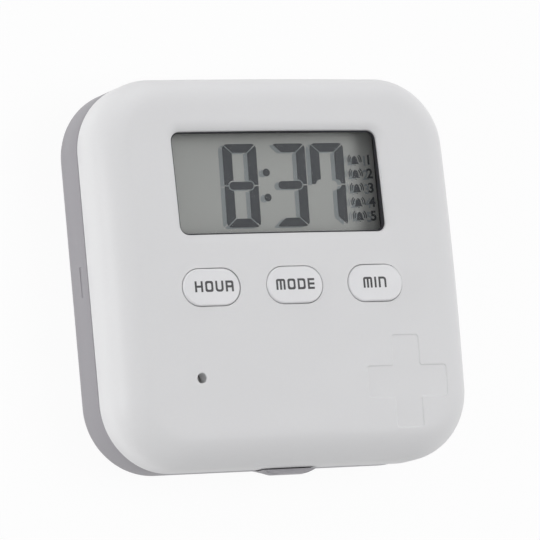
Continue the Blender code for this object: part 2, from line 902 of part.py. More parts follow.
# A coil along X that narrows from its plate to its cell. Its faces are triangles, so each one is flat.
def makeSpring(name, start, direction, y, material):
    count = spring_turns * spring_turn_points
    room = spring_length - 2 * spring_wire_radius - gap
    curve = bpy.data.curves.new(name, "CURVE")
    curve.dimensions = "3D"
    curve.bevel_depth = spring_wire_radius
    curve.bevel_resolution = 1
    curve.use_fill_caps = True
    spline = curve.splines.new("POLY")
    spline.points.add(count)
    for index in range(count + 1):
        share = index / count
        angle = 2 * math.pi * spring_turns * share
        radius = spring_foot_radius + (spring_head_radius - spring_foot_radius) * share
        x = start + direction * (spring_wire_radius + gap / 2 + room * share)
        across = y + radius * math.cos(angle)
        up = cell_height + radius * math.sin(angle)
        spline.points[index].co = (x, across, up, 1)
    path = bpy.data.objects.new(name + "_path", curve)
    shape = bmesh.new()
    shape.from_mesh(path.to_mesh())
    bpy.data.objects.remove(path)
    bmesh.ops.remove_doubles(shape, verts=shape.verts, dist=weld_distance)
    bmesh.ops.triangulate(shape, faces=shape.faces)
    finishMesh(name, shape, material, smooth=True)


def makeSprings(material):
    left = bay_left + contact_thickness + 2 * gap
    right = bay_right - contact_thickness - 2 * gap
    makeSpring("battery_spring_lower", left, 1, cell_ys[1], material)
    makeSpring("battery_spring_upper", right, -1, cell_ys[0], material)


# Inner panel, door and screws

def railPlaces():
    return bay_x - door_width / 2 - gap, bay_x + door_width / 2 + gap


def makePanel(material):
    panel = prism("inner_panel", caseOutline(cover_wall + gap), panel_bottom, panel_top, material)
    start = bay_y - door_length / 2 - gap
    end = bay_y + door_length / 2 + door_travel + gap
    left, right = railPlaces()
    inside = panel_bottom + panel_thickness / 2
    rails = []
    for face, side in ((left, -1), (right, 1)):
        outer = face + side * rail_thickness
        inner = face - side * rail_lip
        web = sorted((face, outer))
        foot = sorted((inner, outer))
        name = "rail_%d" % len(rails)
        rails.append(box(name, (web[0], start - rail_thickness, seam_height), (web[1], end, inside)))
        low = (foot[0], start - rail_thickness / 2, seam_height)
        high = (foot[1], end, seam_height + rail_lip_thickness)
        rails.append(box(name + "_lip", low, high))
    low = (left - rail_thickness / 2, start - rail_thickness, seam_height)
    high = (right + rail_thickness / 2, start, inside)
    rails.append(box("rail_stop", low, high))
    add(panel, *rails)
    half = bay_width / 2
    low = (bay_left, bay_y - half, panel_bottom - overrun)
    opening = box("panel_opening", low, (bay_right, bay_y + half, panel_top + overrun))
    holes = []
    for x, y in postPlaces()[0]:
        name = "panel_hole_%d" % len(holes)
        holes.append(post(name, x, y, panel_screw_radius + gap, panel_bottom - overrun, panel_top + overrun))
    cut(panel, opening, *holes)


def makeDoor(material):
    across = door_width / 2
    along = door_length / 2
    low = (bay_x - across, bay_y - along, door_bottom)
    door = box("battery_door", low, (bay_x + across, bay_y + along, door_top), material)
    grips = []
    for number in range(door_grip_count):
        start = bay_y - along + door_grip_inset + number * door_grip_pitch
        low = (bay_x - door_grip_length / 2, start, door_bottom - door_grip_height)
        high = (bay_x + door_grip_length / 2, start + door_grip_width, door_bottom + door_grip_height)
        grips.append(box("door_grip_%d" % number, low, high))
    add(door, *grips)


def makeScrew(name, x, y, seat, radius, length, material):
    head_top = seat - gap
    head_bottom = head_top - screw_head_height
    rings = [
        flatRing(circle(screw_head_radius, post_sides, x, y), head_bottom),
        flatRing(circle(screw_head_radius, post_sides, x, y), head_top),
        flatRing(circle(radius, post_sides, x, y), head_top),
        flatRing(circle(radius, post_sides, x, y), head_top + length),
    ]
    screw = loft(name, rings, material, smooth=True)
    low = (x - screw_head_radius - overrun, y - screw_slot_width / 2, head_bottom - overrun)
    high = (x + screw_head_radius + overrun, y + screw_slot_width / 2, head_bottom + screw_slot_depth)
    cut(screw, box(name + "_slot", low, high))


def makeScrews(material):
    corners, boards = postPlaces()
    for number, (x, y) in enumerate(corners, 1):
        name = "panel_screw_%d" % number
        makeScrew(name, x, y, panel_bottom, panel_screw_radius, panel_screw_length, material)
    for number, (x, y) in enumerate(boards, 1):
        name = "board_screw_%d" % number
        makeScrew(name, x, y, board_bottom, board_screw_radius, board_screw_length, material)


def makeOrganizer():
    white = makeMaterial("white_shell", (0.78, 0.78, 0.79), 0.42)
    grey = makeMaterial("grey_shell", (0.27, 0.26, 0.28), 0.45)
    steel = makeMaterial("steel", (0.62, 0.62, 0.64), 0.30, 1)
    brass = makeMaterial("gilt_contact", (0.72, 0.60, 0.34), 0.35, 1)
    glass = makeMaterial("display_glass", (0.55, 0.58, 0.55), 0.08, 0, 0.4)
    reflector = makeMaterial("display_ground", (0.33, 0.34, 0.32), 0.50)
    frame = makeMaterial("holder_plastic", (0.10, 0.10, 0.11), 0.50)
    rubber = makeMaterial("contact_rubber", (0.06, 0.06, 0.07), 0.80)
    green = makeMaterial("board_laminate", (0.05, 0.22, 0.10), 0.45)
    resin = makeMaterial("chip_resin", (0.02, 0.02, 0.02), 0.25)
    sleeve = makeMaterial("cell_sleeve", (0.10, 0.16, 0.30), 0.35)
    lamp = makeMaterial("lamp_resin", (0.75, 0.20, 0.18), 0.10)

    makeTray(grey)
    makeDividers(grey)
    makeHingePins(steel)
    makeCover(white)
    makeDisplay(glass, glass, reflector)
    makeHolder(frame)
    makeZebra(rubber)
    for name, (x, y) in zip(key_names, key_centres):
        makeKey(name, x, y, white)
        makeSwitch(name, x, y, frame, rubber)
    makeBoard(green)
    makeLamp(lamp)
    makeSounder(frame)
    makeBoardParts(resin, steel, sleeve)
    makeCells(sleeve)
    makeCradle(white)
    makeContact("contact_positive", cell_ys[0], brass)
    makeContact("contact_negative", cell_ys[1], brass)
    makeBridge(brass)
    makeSprings(steel)
    makePanel(white)
    makeDoor(white)
    makeScrews(steel)


for item in list(bpy.data.objects):
    bpy.data.objects.remove(item, do_unlink=True)
makeOrganizer()
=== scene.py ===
import math

import bmesh
import bpy
from mathutils import Matrix, Vector
from mathutils.geometry import delaunay_2d_cdt
from mathutils.kdtree import KDTree


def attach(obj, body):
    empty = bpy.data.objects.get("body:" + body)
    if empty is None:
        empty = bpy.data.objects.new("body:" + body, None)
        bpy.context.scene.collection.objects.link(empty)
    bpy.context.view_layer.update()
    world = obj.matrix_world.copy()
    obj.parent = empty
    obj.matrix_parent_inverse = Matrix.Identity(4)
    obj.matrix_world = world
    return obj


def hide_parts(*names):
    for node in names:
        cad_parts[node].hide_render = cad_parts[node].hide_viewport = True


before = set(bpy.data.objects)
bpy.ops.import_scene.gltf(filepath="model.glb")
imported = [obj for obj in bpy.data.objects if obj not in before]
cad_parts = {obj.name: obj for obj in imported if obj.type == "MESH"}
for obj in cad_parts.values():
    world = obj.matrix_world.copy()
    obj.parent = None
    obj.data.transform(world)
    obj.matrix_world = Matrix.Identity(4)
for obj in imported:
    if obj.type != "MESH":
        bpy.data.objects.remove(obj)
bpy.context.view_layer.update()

# Shapes are drawn in millimetres and made metres when they are finished.
# The box lies on its back: x is the display's right, y its top, z comes out of the face.
millimetre = 0.001
print("frame loaded with", len(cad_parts), "nodes")


# A socket that takes part in sums
class Link:
    def __init__(self, finish, socket):
        self.finish = finish
        self.socket = socket

    def reckon(self, operation, *values):
        return self.finish.add("ShaderNodeMath", {"operation": operation}, dict(enumerate(values)))

    def __add__(self, other):
        return self.reckon("ADD", self, other)

    def __radd__(self, other):
        return self.reckon("ADD", other, self)

    def __sub__(self, other):
        return self.reckon("SUBTRACT", self, other)

    def __rsub__(self, other):
        return self.reckon("SUBTRACT", other, self)

    def __mul__(self, other):
        return self.reckon("MULTIPLY", self, other)

    def __rmul__(self, other):
        return self.reckon("MULTIPLY", other, self)

    def atLeast(self, other):
        return self.reckon("MAXIMUM", self, other)

    # 0 before the start, 1 after the end, with a soft step between them
    def ramp(self, start, end):
        sockets = {"Value": self, "From Min": start, "From Max": end}
        return self.finish.add("ShaderNodeMapRange", {"interpolation_type": "SMOOTHSTEP"}, sockets)


class Finish:
    def __init__(self, owner):
        owner.use_nodes = True
        self.owner = owner
        self.tree = owner.node_tree
        self.tree.nodes.clear()

    def add(self, kind, settings, sockets, output=0):
        node = self.tree.nodes.new(kind)
        for key, value in settings.items():
            setattr(node, key, value)
        for key, value in sockets.items():
            if isinstance(value, Link):
                self.tree.links.new(value.socket, node.inputs[key])
            else:
                node.inputs[key].default_value = value
        return Link(self, node.outputs[output]) if node.outputs else None

    def place(self):
        return self.add("ShaderNodeTexCoord", {}, {}, "Object")

    def axis(self, name):
        return self.add("ShaderNodeSeparateXYZ", {}, {0: self.place()}, name)

    def noise(self, scale, detail=3.0, stretch=(1, 1, 1)):
        placed = self.add("ShaderNodeMapping", {}, {"Vector": self.place(), "Scale": stretch})
        sockets = {"Vector": placed, "Scale": scale, "Detail": detail, "Roughness": 0.55}
        return self.add("ShaderNodeTexNoise", {}, sockets)

    # A mix of two colours, each three numbers or the result of another node
    def tint(self, share, first, second):
        ends = [colour if isinstance(colour, Link) else (*colour, 1) for colour in (first, second)]
        return self.add("ShaderNodeMix", {"data_type": "RGBA"}, {0: share, 6: ends[0], 7: ends[1]}, 2)

    def bump(self, height, distance):
        return self.add("ShaderNodeBump", {}, {"Height": height, "Distance": distance})

    def principled(self, values):
        shader = self.add("ShaderNodeBsdfPrincipled", {}, values)
        self.add("ShaderNodeOutputMaterial", {}, {"Surface": shader})
        return self.owner


def newFinish(name):
    return Finish(bpy.data.materials.new(name))


# Moulded plastic: fine spark grain, slow colour drift, handling marks that are a little glossier.
# Each pair is a noise's scale and its reach. The grain's reach is a depth in metres.
def mouldedFinish(name, look):
    finish = newFinish(name)
    drift = finish.noise(look["drift"][0], 3)
    speck = finish.noise(look["speck"][0], 2)
    marks = finish.noise(look["marks"][0], 5, look.get("stretch", (1, 1, 1)))
    grain = finish.noise(look["grain"][0], 2)
    share = (drift - 0.5) * look["drift"][1] + (speck - 0.5) * look["speck"][1] + 0.5
    colour = finish.tint(share, look["dark"], look["light"])
    if "worn" in look:
        low, high, amount = look["wornHeight"]
        worn = (1 - finish.axis("Z").ramp(low * millimetre, high * millimetre)) * marks.ramp(0.35, 0.7)
        colour = finish.tint(worn * amount, colour, look["worn"])
    return finish.principled({
        "Base Color": colour,
        "Roughness": look["roughness"] + (marks - 0.5) * look["marks"][1] + (grain - 0.5) * 0.05,
        "Normal": finish.bump(grain + marks * 0.25, look["grain"][1]),
        "Specular IOR Level": look["gloss"],
    })


shellWhite = mouldedFinish("shellWhite", {
    "dark": (0.722, 0.722, 0.725), "light": (0.782, 0.782, 0.786), "drift": (22, 0.5), "speck": (1400, 0.25),
    "marks": (60, 0.16), "stretch": (1, 2.5, 1), "grain": (3200, 0.000006), "roughness": 0.5, "gloss": 0.45,
    "worn": (0.60, 0.60, 0.62), "wornHeight": (11.5, 15.5, 0.35),
})
keyWhite = mouldedFinish("keyWhite", {
    "dark": (0.735, 0.735, 0.745), "light": (0.80, 0.80, 0.81), "drift": (90, 0.6), "speck": (1600, 0.25),
    "marks": (160, 0.2), "stretch": (1, 1.8, 1), "grain": (4200, 0.000004), "roughness": 0.38, "gloss": 0.5,
})
shellGrey = mouldedFinish("shellGrey", {
    "dark": (0.305, 0.295, 0.315), "light": (0.355, 0.345, 0.365), "drift": (28, 0.6), "speck": (1500, 0.3),
    "marks": (70, 0.18), "stretch": (1, 1, 3), "grain": (3000, 0.000008), "roughness": 0.45, "gloss": 0.5,
    "worn": (0.40, 0.39, 0.41), "wornHeight": (0.0, 2.6, 0.5),
})
innerWhite = mouldedFinish("innerWhite", {
    "dark": (0.66, 0.66, 0.67), "light": (0.74, 0.74, 0.75), "drift": (35, 0.6), "speck": (1300, 0.25),
    "marks": (90, 0.16), "stretch": (3, 1, 1), "grain": (2600, 0.000008), "roughness": 0.48, "gloss": 0.5,
})
holderBlack = mouldedFinish("holderBlack", {
    "dark": (0.030, 0.030, 0.033), "light": (0.050, 0.050, 0.053), "drift": (60, 0.6), "speck": (1500, 0.3),
    "marks": (110, 0.16), "grain": (2800, 0.000008), "roughness": 0.5, "gloss": 0.5,
})
# Near-black foam that is partly painted shade: it darkens the window's walls where their shade falls
gasketFoam = mouldedFinish("gasketFoam", {
    "dark": (0.022, 0.022, 0.026), "light": (0.052, 0.052, 0.058), "drift": (90, 0.5), "speck": (2200, 0.5),
    "marks": (150, 0.1), "grain": (2400, 0.00003), "roughness": 0.85, "gloss": 0.25,
})
contactRubber = mouldedFinish("contactRubber", {
    "dark": (0.035, 0.035, 0.04), "light": (0.065, 0.065, 0.072), "drift": (120, 0.6), "speck": (1800, 0.4),
    "marks": (150, 0.12), "stretch": (4, 1, 1), "grain": (2600, 0.00001), "roughness": 0.7, "gloss": 0.35,
})
cellSleeve = mouldedFinish("cellSleeve", {
    "dark": (0.045, 0.085, 0.19), "light": (0.075, 0.125, 0.26), "drift": (70, 0.5), "speck": (1500, 0.3),
    "marks": (130, 0.16), "stretch": (1, 5, 5), "grain": (2600, 0.000004), "roughness": 0.3, "gloss": 0.55,
})
boardLaminate = mouldedFinish("boardLaminate", {
    "dark": (0.02, 0.12, 0.05), "light": (0.035, 0.18, 0.08), "drift": (120, 0.5), "speck": (900, 0.5),
    "marks": (400, 0.14), "stretch": (1, 6, 1), "grain": (1600, 0.00001), "roughness": 0.35, "gloss": 0.55,
})
chipResin = mouldedFinish("chipResin", {
    "dark": (0.010, 0.010, 0.012), "light": (0.022, 0.022, 0.025), "drift": (200, 0.5), "speck": (1600, 0.3),
    "marks": (240, 0.14), "grain": (1200, 0.00001), "roughness": 0.25, "gloss": 0.55,
})
displayGround = mouldedFinish("displayGround", {
    "dark": (0.34, 0.35, 0.335), "light": (0.385, 0.395, 0.375), "drift": (45, 0.6), "speck": (1800, 0.4),
    "marks": (120, 0.1), "grain": (2600, 0.000004), "roughness": 0.5, "gloss": 0.4,
})
# A painted shadow: a darker tone of the display's ground, for the drawing's shadow on it
displayShade = mouldedFinish("displayShade", {
    "dark": (0.21, 0.235, 0.24), "light": (0.24, 0.265, 0.27), "drift": (60, 0.6), "speck": (1800, 0.3),
    "marks": (120, 0.1), "grain": (2600, 0.000003), "roughness": 0.55, "gloss": 0.3,
})
displayInk = mouldedFinish("displayInk", {
    "dark": (0.021, 0.025, 0.031), "light": (0.030, 0.035, 0.042), "drift": (60, 0.6), "speck": (1800, 0.3),
    "marks": (120, 0.1), "grain": (2600, 0.000002), "roughness": 0.4, "gloss": 0.2,
})
printedInk = mouldedFinish("printedInk", {
    "dark": (0.036, 0.036, 0.039), "light": (0.062, 0.062, 0.065), "drift": (300, 0.5), "speck": (2600, 0.6),
    "marks": (400, 0.15), "grain": (4200, 0.000004), "roughness": 0.5, "gloss": 0.4,
})


# Metal: drawn or stamped lines along one axis, with tarnish in slow patches
def metalFinish(name, look):
    finish = newFinish(name)
    drift = finish.noise(look["drift"][0], 4)
    lines = finish.noise(look["lines"][0], 2, look["stretch"])
    share = (drift - 0.5) * look["drift"][1] + (lines - 0.5) * 0.3 + 0.5
    return finish.principled({
        "Base Color": finish.tint(share, look["dark"], look["light"]),
        "Metallic": 1.0,
        "Roughness": look["roughness"] + (drift - 0.5) * 0.2 + (lines - 0.5) * 0.12,
        "Normal": finish.bump(lines, look["lines"][1]),
    })


turnedSteel = metalFinish("turnedSteel", {
    "dark": (0.48, 0.48, 0.50), "light": (0.70, 0.70, 0.72), "drift": (260, 0.8), "lines": (900, 0.000006),
    "stretch": (1, 1, 6), "roughness": 0.3,
})
plainSteel = metalFinish("plainSteel", {
    "dark": (0.52, 0.52, 0.54), "light": (0.68, 0.68, 0.70), "drift": (180, 0.7), "lines": (1200, 0.000005),
    "stretch": (6, 1, 1), "roughness": 0.26,
})
giltPlate = metalFinish("giltPlate", {
    "dark": (0.62, 0.50, 0.27), "light": (0.80, 0.68, 0.42), "drift": (220, 0.8), "lines": (1500, 0.000004),
    "stretch": (1, 5, 1), "roughness": 0.28,
})


# Clear parts let light through, and show faint wipe marks in their gloss
def clearFinish(name, look):
    finish = newFinish(name)
    wipes = finish.noise(look["wipes"][0], 4, (1, 5, 1))
    mist = finish.noise(35, 2)
    return finish.principled({
        "Base Color": finish.tint(mist, look["dark"], look["light"]),
        "Roughness": look["roughness"] + (wipes - 0.5) * look["wipes"][1],
        "Alpha": look["alpha"] + (mist - 0.5) * look["mist"],
        "Normal": finish.bump(wipes, 0.000001),
    })


lensClear = clearFinish("lensClear", {
    "dark": (0.30, 0.31, 0.32), "light": (0.40, 0.41, 0.42), "alpha": 0.025, "mist": 0.01,
    "roughness": 0.08, "wipes": (70, 0.06),
})
glassClear = clearFinish("glassClear", {
    "dark": (0.20, 0.22, 0.21), "light": (0.28, 0.31, 0.29), "alpha": 0.02, "mist": 0.006,
    "roughness": 0.05, "wipes": (50, 0.03),
})
lampResin = clearFinish("lampResin", {
    "dark": (0.72, 0.70, 0.68), "light": (0.86, 0.85, 0.83), "alpha": 0.85, "mist": 0.05,
    "roughness": 0.2, "wipes": (200, 0.05),
})
print("finishes made:", len(bpy.data.materials))


# Shape helpers

# Faces that turn by more than this, in degrees, shade apart
sharpFrom = 38
# Corners closer than this are made one
weld = 0.01


# Turns a drawn shape into a piece of the part that rides on a body
def finishPiece(shape, name, look, body, replaced=()):
    bmesh.ops.recalc_face_normals(shape, faces=shape.faces)
    bmesh.ops.scale(shape, vec=(millimetre, millimetre, millimetre), verts=shape.verts)
    mesh = bpy.data.meshes.new(name)
    shape.to_mesh(mesh)
    shape.free()
    mesh.shade_smooth()
    mesh.set_sharp_from_angle(angle=math.radians(sharpFrom))
    mesh.materials.append(look)
    piece = bpy.data.objects.new(name, mesh)
    bpy.context.scene.collection.objects.link(piece)
    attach(piece, body)
    if replaced:
        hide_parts(*replaced)
    print(name, "has", len(mesh.polygons), "faces")


# Several shapes made one, each where its matrix puts it
def joined(*parts):
    whole = bmesh.new()
    for part in parts:
        shape, matrix = part if isinstance(part, tuple) else (part, Matrix())
        mesh = bpy.data.meshes.new("joining")
        bmesh.ops.transform(shape, matrix=matrix, verts=shape.verts)
        shape.to_mesh(mesh)
        shape.free()
        whole.from_mesh(mesh)
        bpy.data.meshes.remove(mesh)
    return whole


# A shape with tools cut out of it, or added to it
def carved(shape, tools, operation="DIFFERENCE"):
    blanks = []
    for each in [shape] + tools:
        bmesh.ops.recalc_face_normals(each, faces=each.faces)
        mesh = bpy.data.meshes.new("carving")
        each.to_mesh(mesh)
        each.free()
        blanks.append(bpy.data.objects.new("carving", mesh))
        bpy.context.scene.collection.objects.link(blanks[-1])
    for tool in blanks[1:]:
        modifier = blanks[0].modifiers.new("carving", "BOOLEAN")
        modifier.object = tool
        modifier.operation = operation
        modifier.solver = "EXACT"
    result = bmesh.new()
    result.from_object(blanks[0], bpy.context.evaluated_depsgraph_get())
    for blank in blanks:
        mesh = blank.data
        bpy.data.objects.remove(blank)
        bpy.data.meshes.remove(mesh)
    return result


def moved(shape, x, y, z=0.0):
    bmesh.ops.translate(shape, vec=(x, y, z), verts=shape.verts)
    return shape


# Rounds edges, or the corners of a flat shape
def soften(shape, geom, radius, steps, affect="EDGES"):
    bmesh.ops.bevel(
        shape, geom=geom, offset=radius, offset_type="OFFSET", affect=affect, segments=steps, profile=0.5,
        material=-1,
    )


# Cuts off all that lies past a plane, and returns what lies on it
def cutPast(shape, place, way, dist):
    everything = shape.verts[:] + shape.edges[:] + shape.faces[:]
    return bmesh.ops.bisect_plane(
        shape, geom=everything, dist=dist, plane_co=place, plane_no=way, clear_outer=True
    )["geom_cut"]


# A flat plate with round corners
def plate(width, height, corner, steps, x=0.0, y=0.0, z=0.0):
    shape = bmesh.new()
    bmesh.ops.create_grid(shape, x_segments=1, y_segments=1, size=0.5)
    bmesh.ops.scale(shape, vec=(width, height, 1), verts=shape.verts)
    moved(shape, x, y, z)
    soften(shape, shape.verts[:], min(corner, 0.4999 * width, 0.4999 * height), steps, "VERTICES")
    return shape


# A flat figure of cells: uneven columns and rows, of which only the marked ones stay.
# Corners listed in rounded are (column, row) from the lower left, each with its radius.
def figure(columns, rows, cells, rounded):
    shape = bmesh.new()
    across = len(columns) - 1
    along = len(rows) - 1
    bmesh.ops.create_grid(shape, x_segments=across, y_segments=along, size=0.5)
    places = {}
    for vert in shape.verts:
        places[round((vert.co.x + 0.5) * across), round((vert.co.y + 0.5) * along)] = vert
    unwanted = []
    for face in shape.faces:
        middle = face.calc_center_median()
        column = int((middle.x + 0.5) * across)
        row = int((middle.y + 0.5) * along)
        if cells[along - 1 - row][column] == " ":
            unwanted.append(face)
    for (column, row), vert in places.items():
        vert.co = (columns[column], rows[row], 0)
    bmesh.ops.delete(shape, geom=unwanted, context="FACES")
    bmesh.ops.dissolve_faces(shape, faces=shape.faces[:])
    straight = [vert for vert in shape.verts if len(vert.link_edges) == 2 and vert.calc_edge_angle(0) < 0.01]
    bmesh.ops.dissolve_verts(shape, verts=straight)
    for radius in {radius for column, row, radius in rounded}:
        corners = [Vector((columns[c], rows[r], 0)) for c, r, wanted in rounded if wanted == radius]
        found = [min(shape.verts, key=lambda vert: (vert.co - corner).length) for corner in corners]
        soften(shape, found, radius, 4, "VERTICES")
    return shape


# Gives a flat shape its thickness
def thicken(shape, height):
    made = bmesh.ops.extrude_face_region(shape, geom=shape.faces[:])["geom"]
    raised = [item for item in made if isinstance(item, bmesh.types.BMVert)]
    bmesh.ops.translate(shape, vec=(0, 0, height), verts=raised)
    return shape


# A block with rounded edges
def block(low, high, rounding, steps=3):
    shape = bmesh.new()
    bmesh.ops.create_cube(shape, size=1)
    bmesh.ops.scale(shape, vec=[b - a for a, b in zip(low, high)], verts=shape.verts)
    moved(shape, *[(a + b) / 2 for a, b in zip(low, high)])
    if rounding:
        soften(shape, shape.edges[:], rounding, steps)
    return shape


# Takes a flat shape's faces away, which leaves the loop round it, and divides its long sides
def openLoop(shape, longest):
    bmesh.ops.delete(shape, geom=shape.faces[:], context="FACES_ONLY")
    for edge in shape.edges[:]:
        cuts = int(edge.calc_length() / longest)
        if cuts:
            bmesh.ops.subdivide_edges(shape, edges=[edge], cuts=cuts)
    return shape


# The corners of a loop in order, counterclockwise as seen from above
def inOrder(edges):
    members = set(edges)
    edge = edges[0]
    first, here = edge.verts
    ring = [first]
    while here is not first:
        ring.append(here)
        edge = next(other for other in here.link_edges if other in members and other is not edge)
        here = edge.other_vert(here)
    area = sum(a.co.x * b.co.y - b.co.x * a.co.y for a, b in zip(ring, ring[1:] + ring[:1]))
    return ring if area > 0 else ring[::-1]


# For each corner, the way inwards that keeps its two sides parallel to themselves
def inwardWays(ring):
    ways = []
    for before, here, after in zip(ring[-1:] + ring[:-1], ring, ring[1:] + ring[:1]):
        first = (here.co - before.co).to_2d().normalized()
        second = (after.co - here.co).to_2d().normalized()
        sides = Vector((-first.y - second.y, first.x + second.x))
        ways.append((sides / (1 + first.dot(second))).to_3d())
    return ways


def levelBase(x, y):
    return 0.0


# Carries a loop along a profile of (inwards, up) steps over a base surface, and returns the last loop
def carryLoop(shape, edges, profile, base=levelBase):
    ring = inOrder(edges)
    ways = inwardWays(ring)
    starts = [vert.co.copy() for vert in ring]
    for inwards, up in profile:
        made = bmesh.ops.extrude_edge_only(shape, edges=edges)["geom"]
        fresh = {item for item in made if isinstance(item, bmesh.types.BMVert)}
        ring = [
            next(edge.other_vert(vert) for edge in vert.link_edges if edge.other_vert(vert) in fresh)
            for vert in ring
        ]
        for vert, start, way in zip(ring, starts, ways):
            x, y = (start + way * inwards).to_2d()
            vert.co = (x, y, base(x, y) + up)
        edges = [item for item in made if isinstance(item, bmesh.types.BMEdge) and set(item.verts) <= fresh]
    return edges


# Even steps from one value to another, without the first
def sweep(first, last, steps):
    return [first + (last - first) * step / steps for step in range(1, steps + 1)]


# Steps of a quarter round that starts level and ends upright. side is 1 inwards and -1 outwards.
def overEdge(radius, steps, side=1, inwards=0.0):
    angles = sweep(0, math.pi / 2, steps)
    return [(inwards + side * radius * math.sin(a), -radius * (1 - math.cos(a))) for a in angles]


# All closed loops among the open edges of a shape
def openEdges(shape):
    left = dict.fromkeys(edge for edge in shape.edges if len(edge.link_faces) < 2)
    loops = []
    while left:
        edge = next(iter(left))
        del left[edge]
        loop = [edge]
        reached = list(edge.verts)
        while reached:
            vert = reached.pop()
            for other in vert.link_edges:
                if other in left:
                    del left[other]
                    loop.append(other)
                    reached.append(other.other_vert(vert))
        loops.append(loop)
    return loops


# The open loop whose middle is nearest to a place
def loopNear(shape, x, y):
    def away(loop):
        xs = [vert.co.x for edge in loop for vert in edge.verts]
        ys = [vert.co.y for edge in loop for vert in edge.verts]
        return Vector(((min(xs) + max(xs)) / 2 - x, (min(ys) + max(ys)) / 2 - y)).length
    return min(openEdges(shape), key=away)


# Fills loops, and the room between them, with small even triangles over a base surface
def fillBetween(shape, edges, longest, base=levelBase):
    verts = list(dict.fromkeys(vert for edge in edges for vert in edge.verts))
    places = [vert.co.to_2d() for vert in verts]
    number = {vert: index for index, vert in enumerate(verts)}
    pairs = [(number[edge.verts[0]], number[edge.verts[1]]) for edge in edges]
    border = KDTree(len(places))
    for index, place in enumerate(places):
        border.insert(place.to_3d(), index)
    border.balance()

    def isWithin(point):
        odd = False
        for first, second in pairs:
            a = places[first]
            b = places[second]
            if (a.y > point.y) != (b.y > point.y):
                if point.x < a.x + (b.x - a.x) * (point.y - a.y) / (b.y - a.y):
                    odd = not odd
        return odd

    # Rows of points, every second one half a step along, that keep clear of the border
    rowStep = longest * math.sqrt(3) / 2
    clearance = 0.62 * longest
    low = (min(place.x for place in places), min(place.y for place in places))
    high = (max(place.x for place in places), max(place.y for place in places))
    for row in range(int((high[1] - low[1]) / rowStep)):
        for column in range(int((high[0] - low[0]) / longest)):
            across = low[0] + longest * (column + 0.5 * (row % 2) + 0.3)
            point = Vector((across, low[1] + rowStep * (row + 0.5)))
            if border.find(point.to_3d())[2] > clearance and isWithin(point):
                places.append(point)
    made = delaunay_2d_cdt(places, pairs, [], 0, 0.00001)
    corners = []
    for place, origins in zip(made[0], made[3]):
        known = [index for index in origins if index < len(verts)]
        corners.append(verts[known[0]] if known else shape.verts.new(place.to_3d()))
    for triangle in made[2]:
        middle = sum((made[0][index] for index in triangle), Vector((0, 0))) / 3
        if isWithin(middle):
            shape.faces.new([corners[index] for index in triangle])
    for corner in corners:
        if corner.link_faces:
            corner.co.z = base(corner.co.x, corner.co.y)


# Cover: a domed face with a deep round edge, a sunk window, key holes, a lamp hole and a pressed plus
cover = {
    "width": 96.0, "height": 95.0, "corner": 17.3, "cornerSteps": 26, "depth": 27.5, "dome": 580.0,
    "edgeRound": 8.5, "edgeSteps": 18, "roundStart": 1.7, "wall": 1.8, "wallRings": (15.8, 13.8),
    "seam": 11.5, "seamRound": ((0.0, 0.35), (0.03, 0.13), (0.12, 0.03), (0.25, 0.0)), "skirt": 0.8,
    "lip": 1.0, "archFoot": 16.0, "archSteps": 6, "support": 0.15, "faceStep": 1.15, "ceilingStep": 4.0,
    "hingeSlope": (0, 46.3, 11.7),
}
window = {
    "width": 55.9, "height": 25.2, "x": -1.3, "y": 20.8, "corner": 2.3, "cornerSteps": 9, "surround": 2.6,
    "slideSteps": 10, "sink": 0.75, "curve": 2.0, "rim": 0.3, "rimSteps": 5, "floor": 24.4, "ledge": 3.0,
}
keys = {
    "places": {"hour": -23.0, "mode": -0.8, "min": 21.4}, "y": -4.7, "holeLength": 15.4, "holeWidth": 9.3,
    "cornerSteps": 12, "holeRound": 0.12, "holeSteps": 4, "holeRing": 0.8, "gap": 0.15, "proud": 0.36,
    "round": 0.45, "edgeSteps": 6, "crown": 0.12, "support": 0.1, "faceStep": 1.2, "skirtRing": 26.0,
    "flangeTop": 24.4, "flangeBottom": 23.4, "flangeMargin": 1.0,
}
lampHole = {
    "x": -27.3, "y": -26.4, "radius": 1.2, "cornerSteps": 8, "round": 0.28, "steps": 5, "ring": 0.9,
    "depth": 3.6, "boss": 0.7,
}
plus = {
    "x": 28.5, "y": -28.8, "arm": 7.45, "depth": 0.2, "round": 0.34, "steps": 4, "endRound": 1.1,
    "nookRound": 0.25,
}


# The same place on the level face, or past it the nearest place on its border
def insideFace(x, y):
    half = (cover["width"] / 2 - cover["edgeRound"], cover["height"] / 2 - cover["edgeRound"])
    corner = cover["corner"] - cover["edgeRound"]
    core = Vector([
        max(corner - reach, min(reach - corner, place)) for reach, place in zip(half, (x, y))
    ])
    away = Vector((x, y)) - core
    return core + away * min(1, corner / max(away.length, 0.0001))


# The face's height. Past the start of the round edge it stays as it is at the nearest point of the face.
def faceHeight(x, y):
    return cover["depth"] - insideFace(x, y).length_squared / (2 * cover["dome"])


# The same with the start of the round edge, into which the plus reaches
def skinHeight(x, y):
    past = min((Vector((x, y)) - insideFace(x, y)).length, cover["edgeRound"])
    return faceHeight(x, y) - cover["edgeRound"] + math.sqrt(cover["edgeRound"] ** 2 - past ** 2)


# The cover's outline, brought inwards all round
def coverPlate(inset):
    return plate(
        cover["width"] - 2 * inset, cover["height"] - 2 * inset, cover["corner"] - inset, cover["cornerSteps"]
    )


def keyPlate(margin, x):
    width = keys["holeWidth"] + 2 * margin
    return plate(keys["holeLength"] + 2 * margin, width, width / 2, keys["cornerSteps"], x, keys["y"])


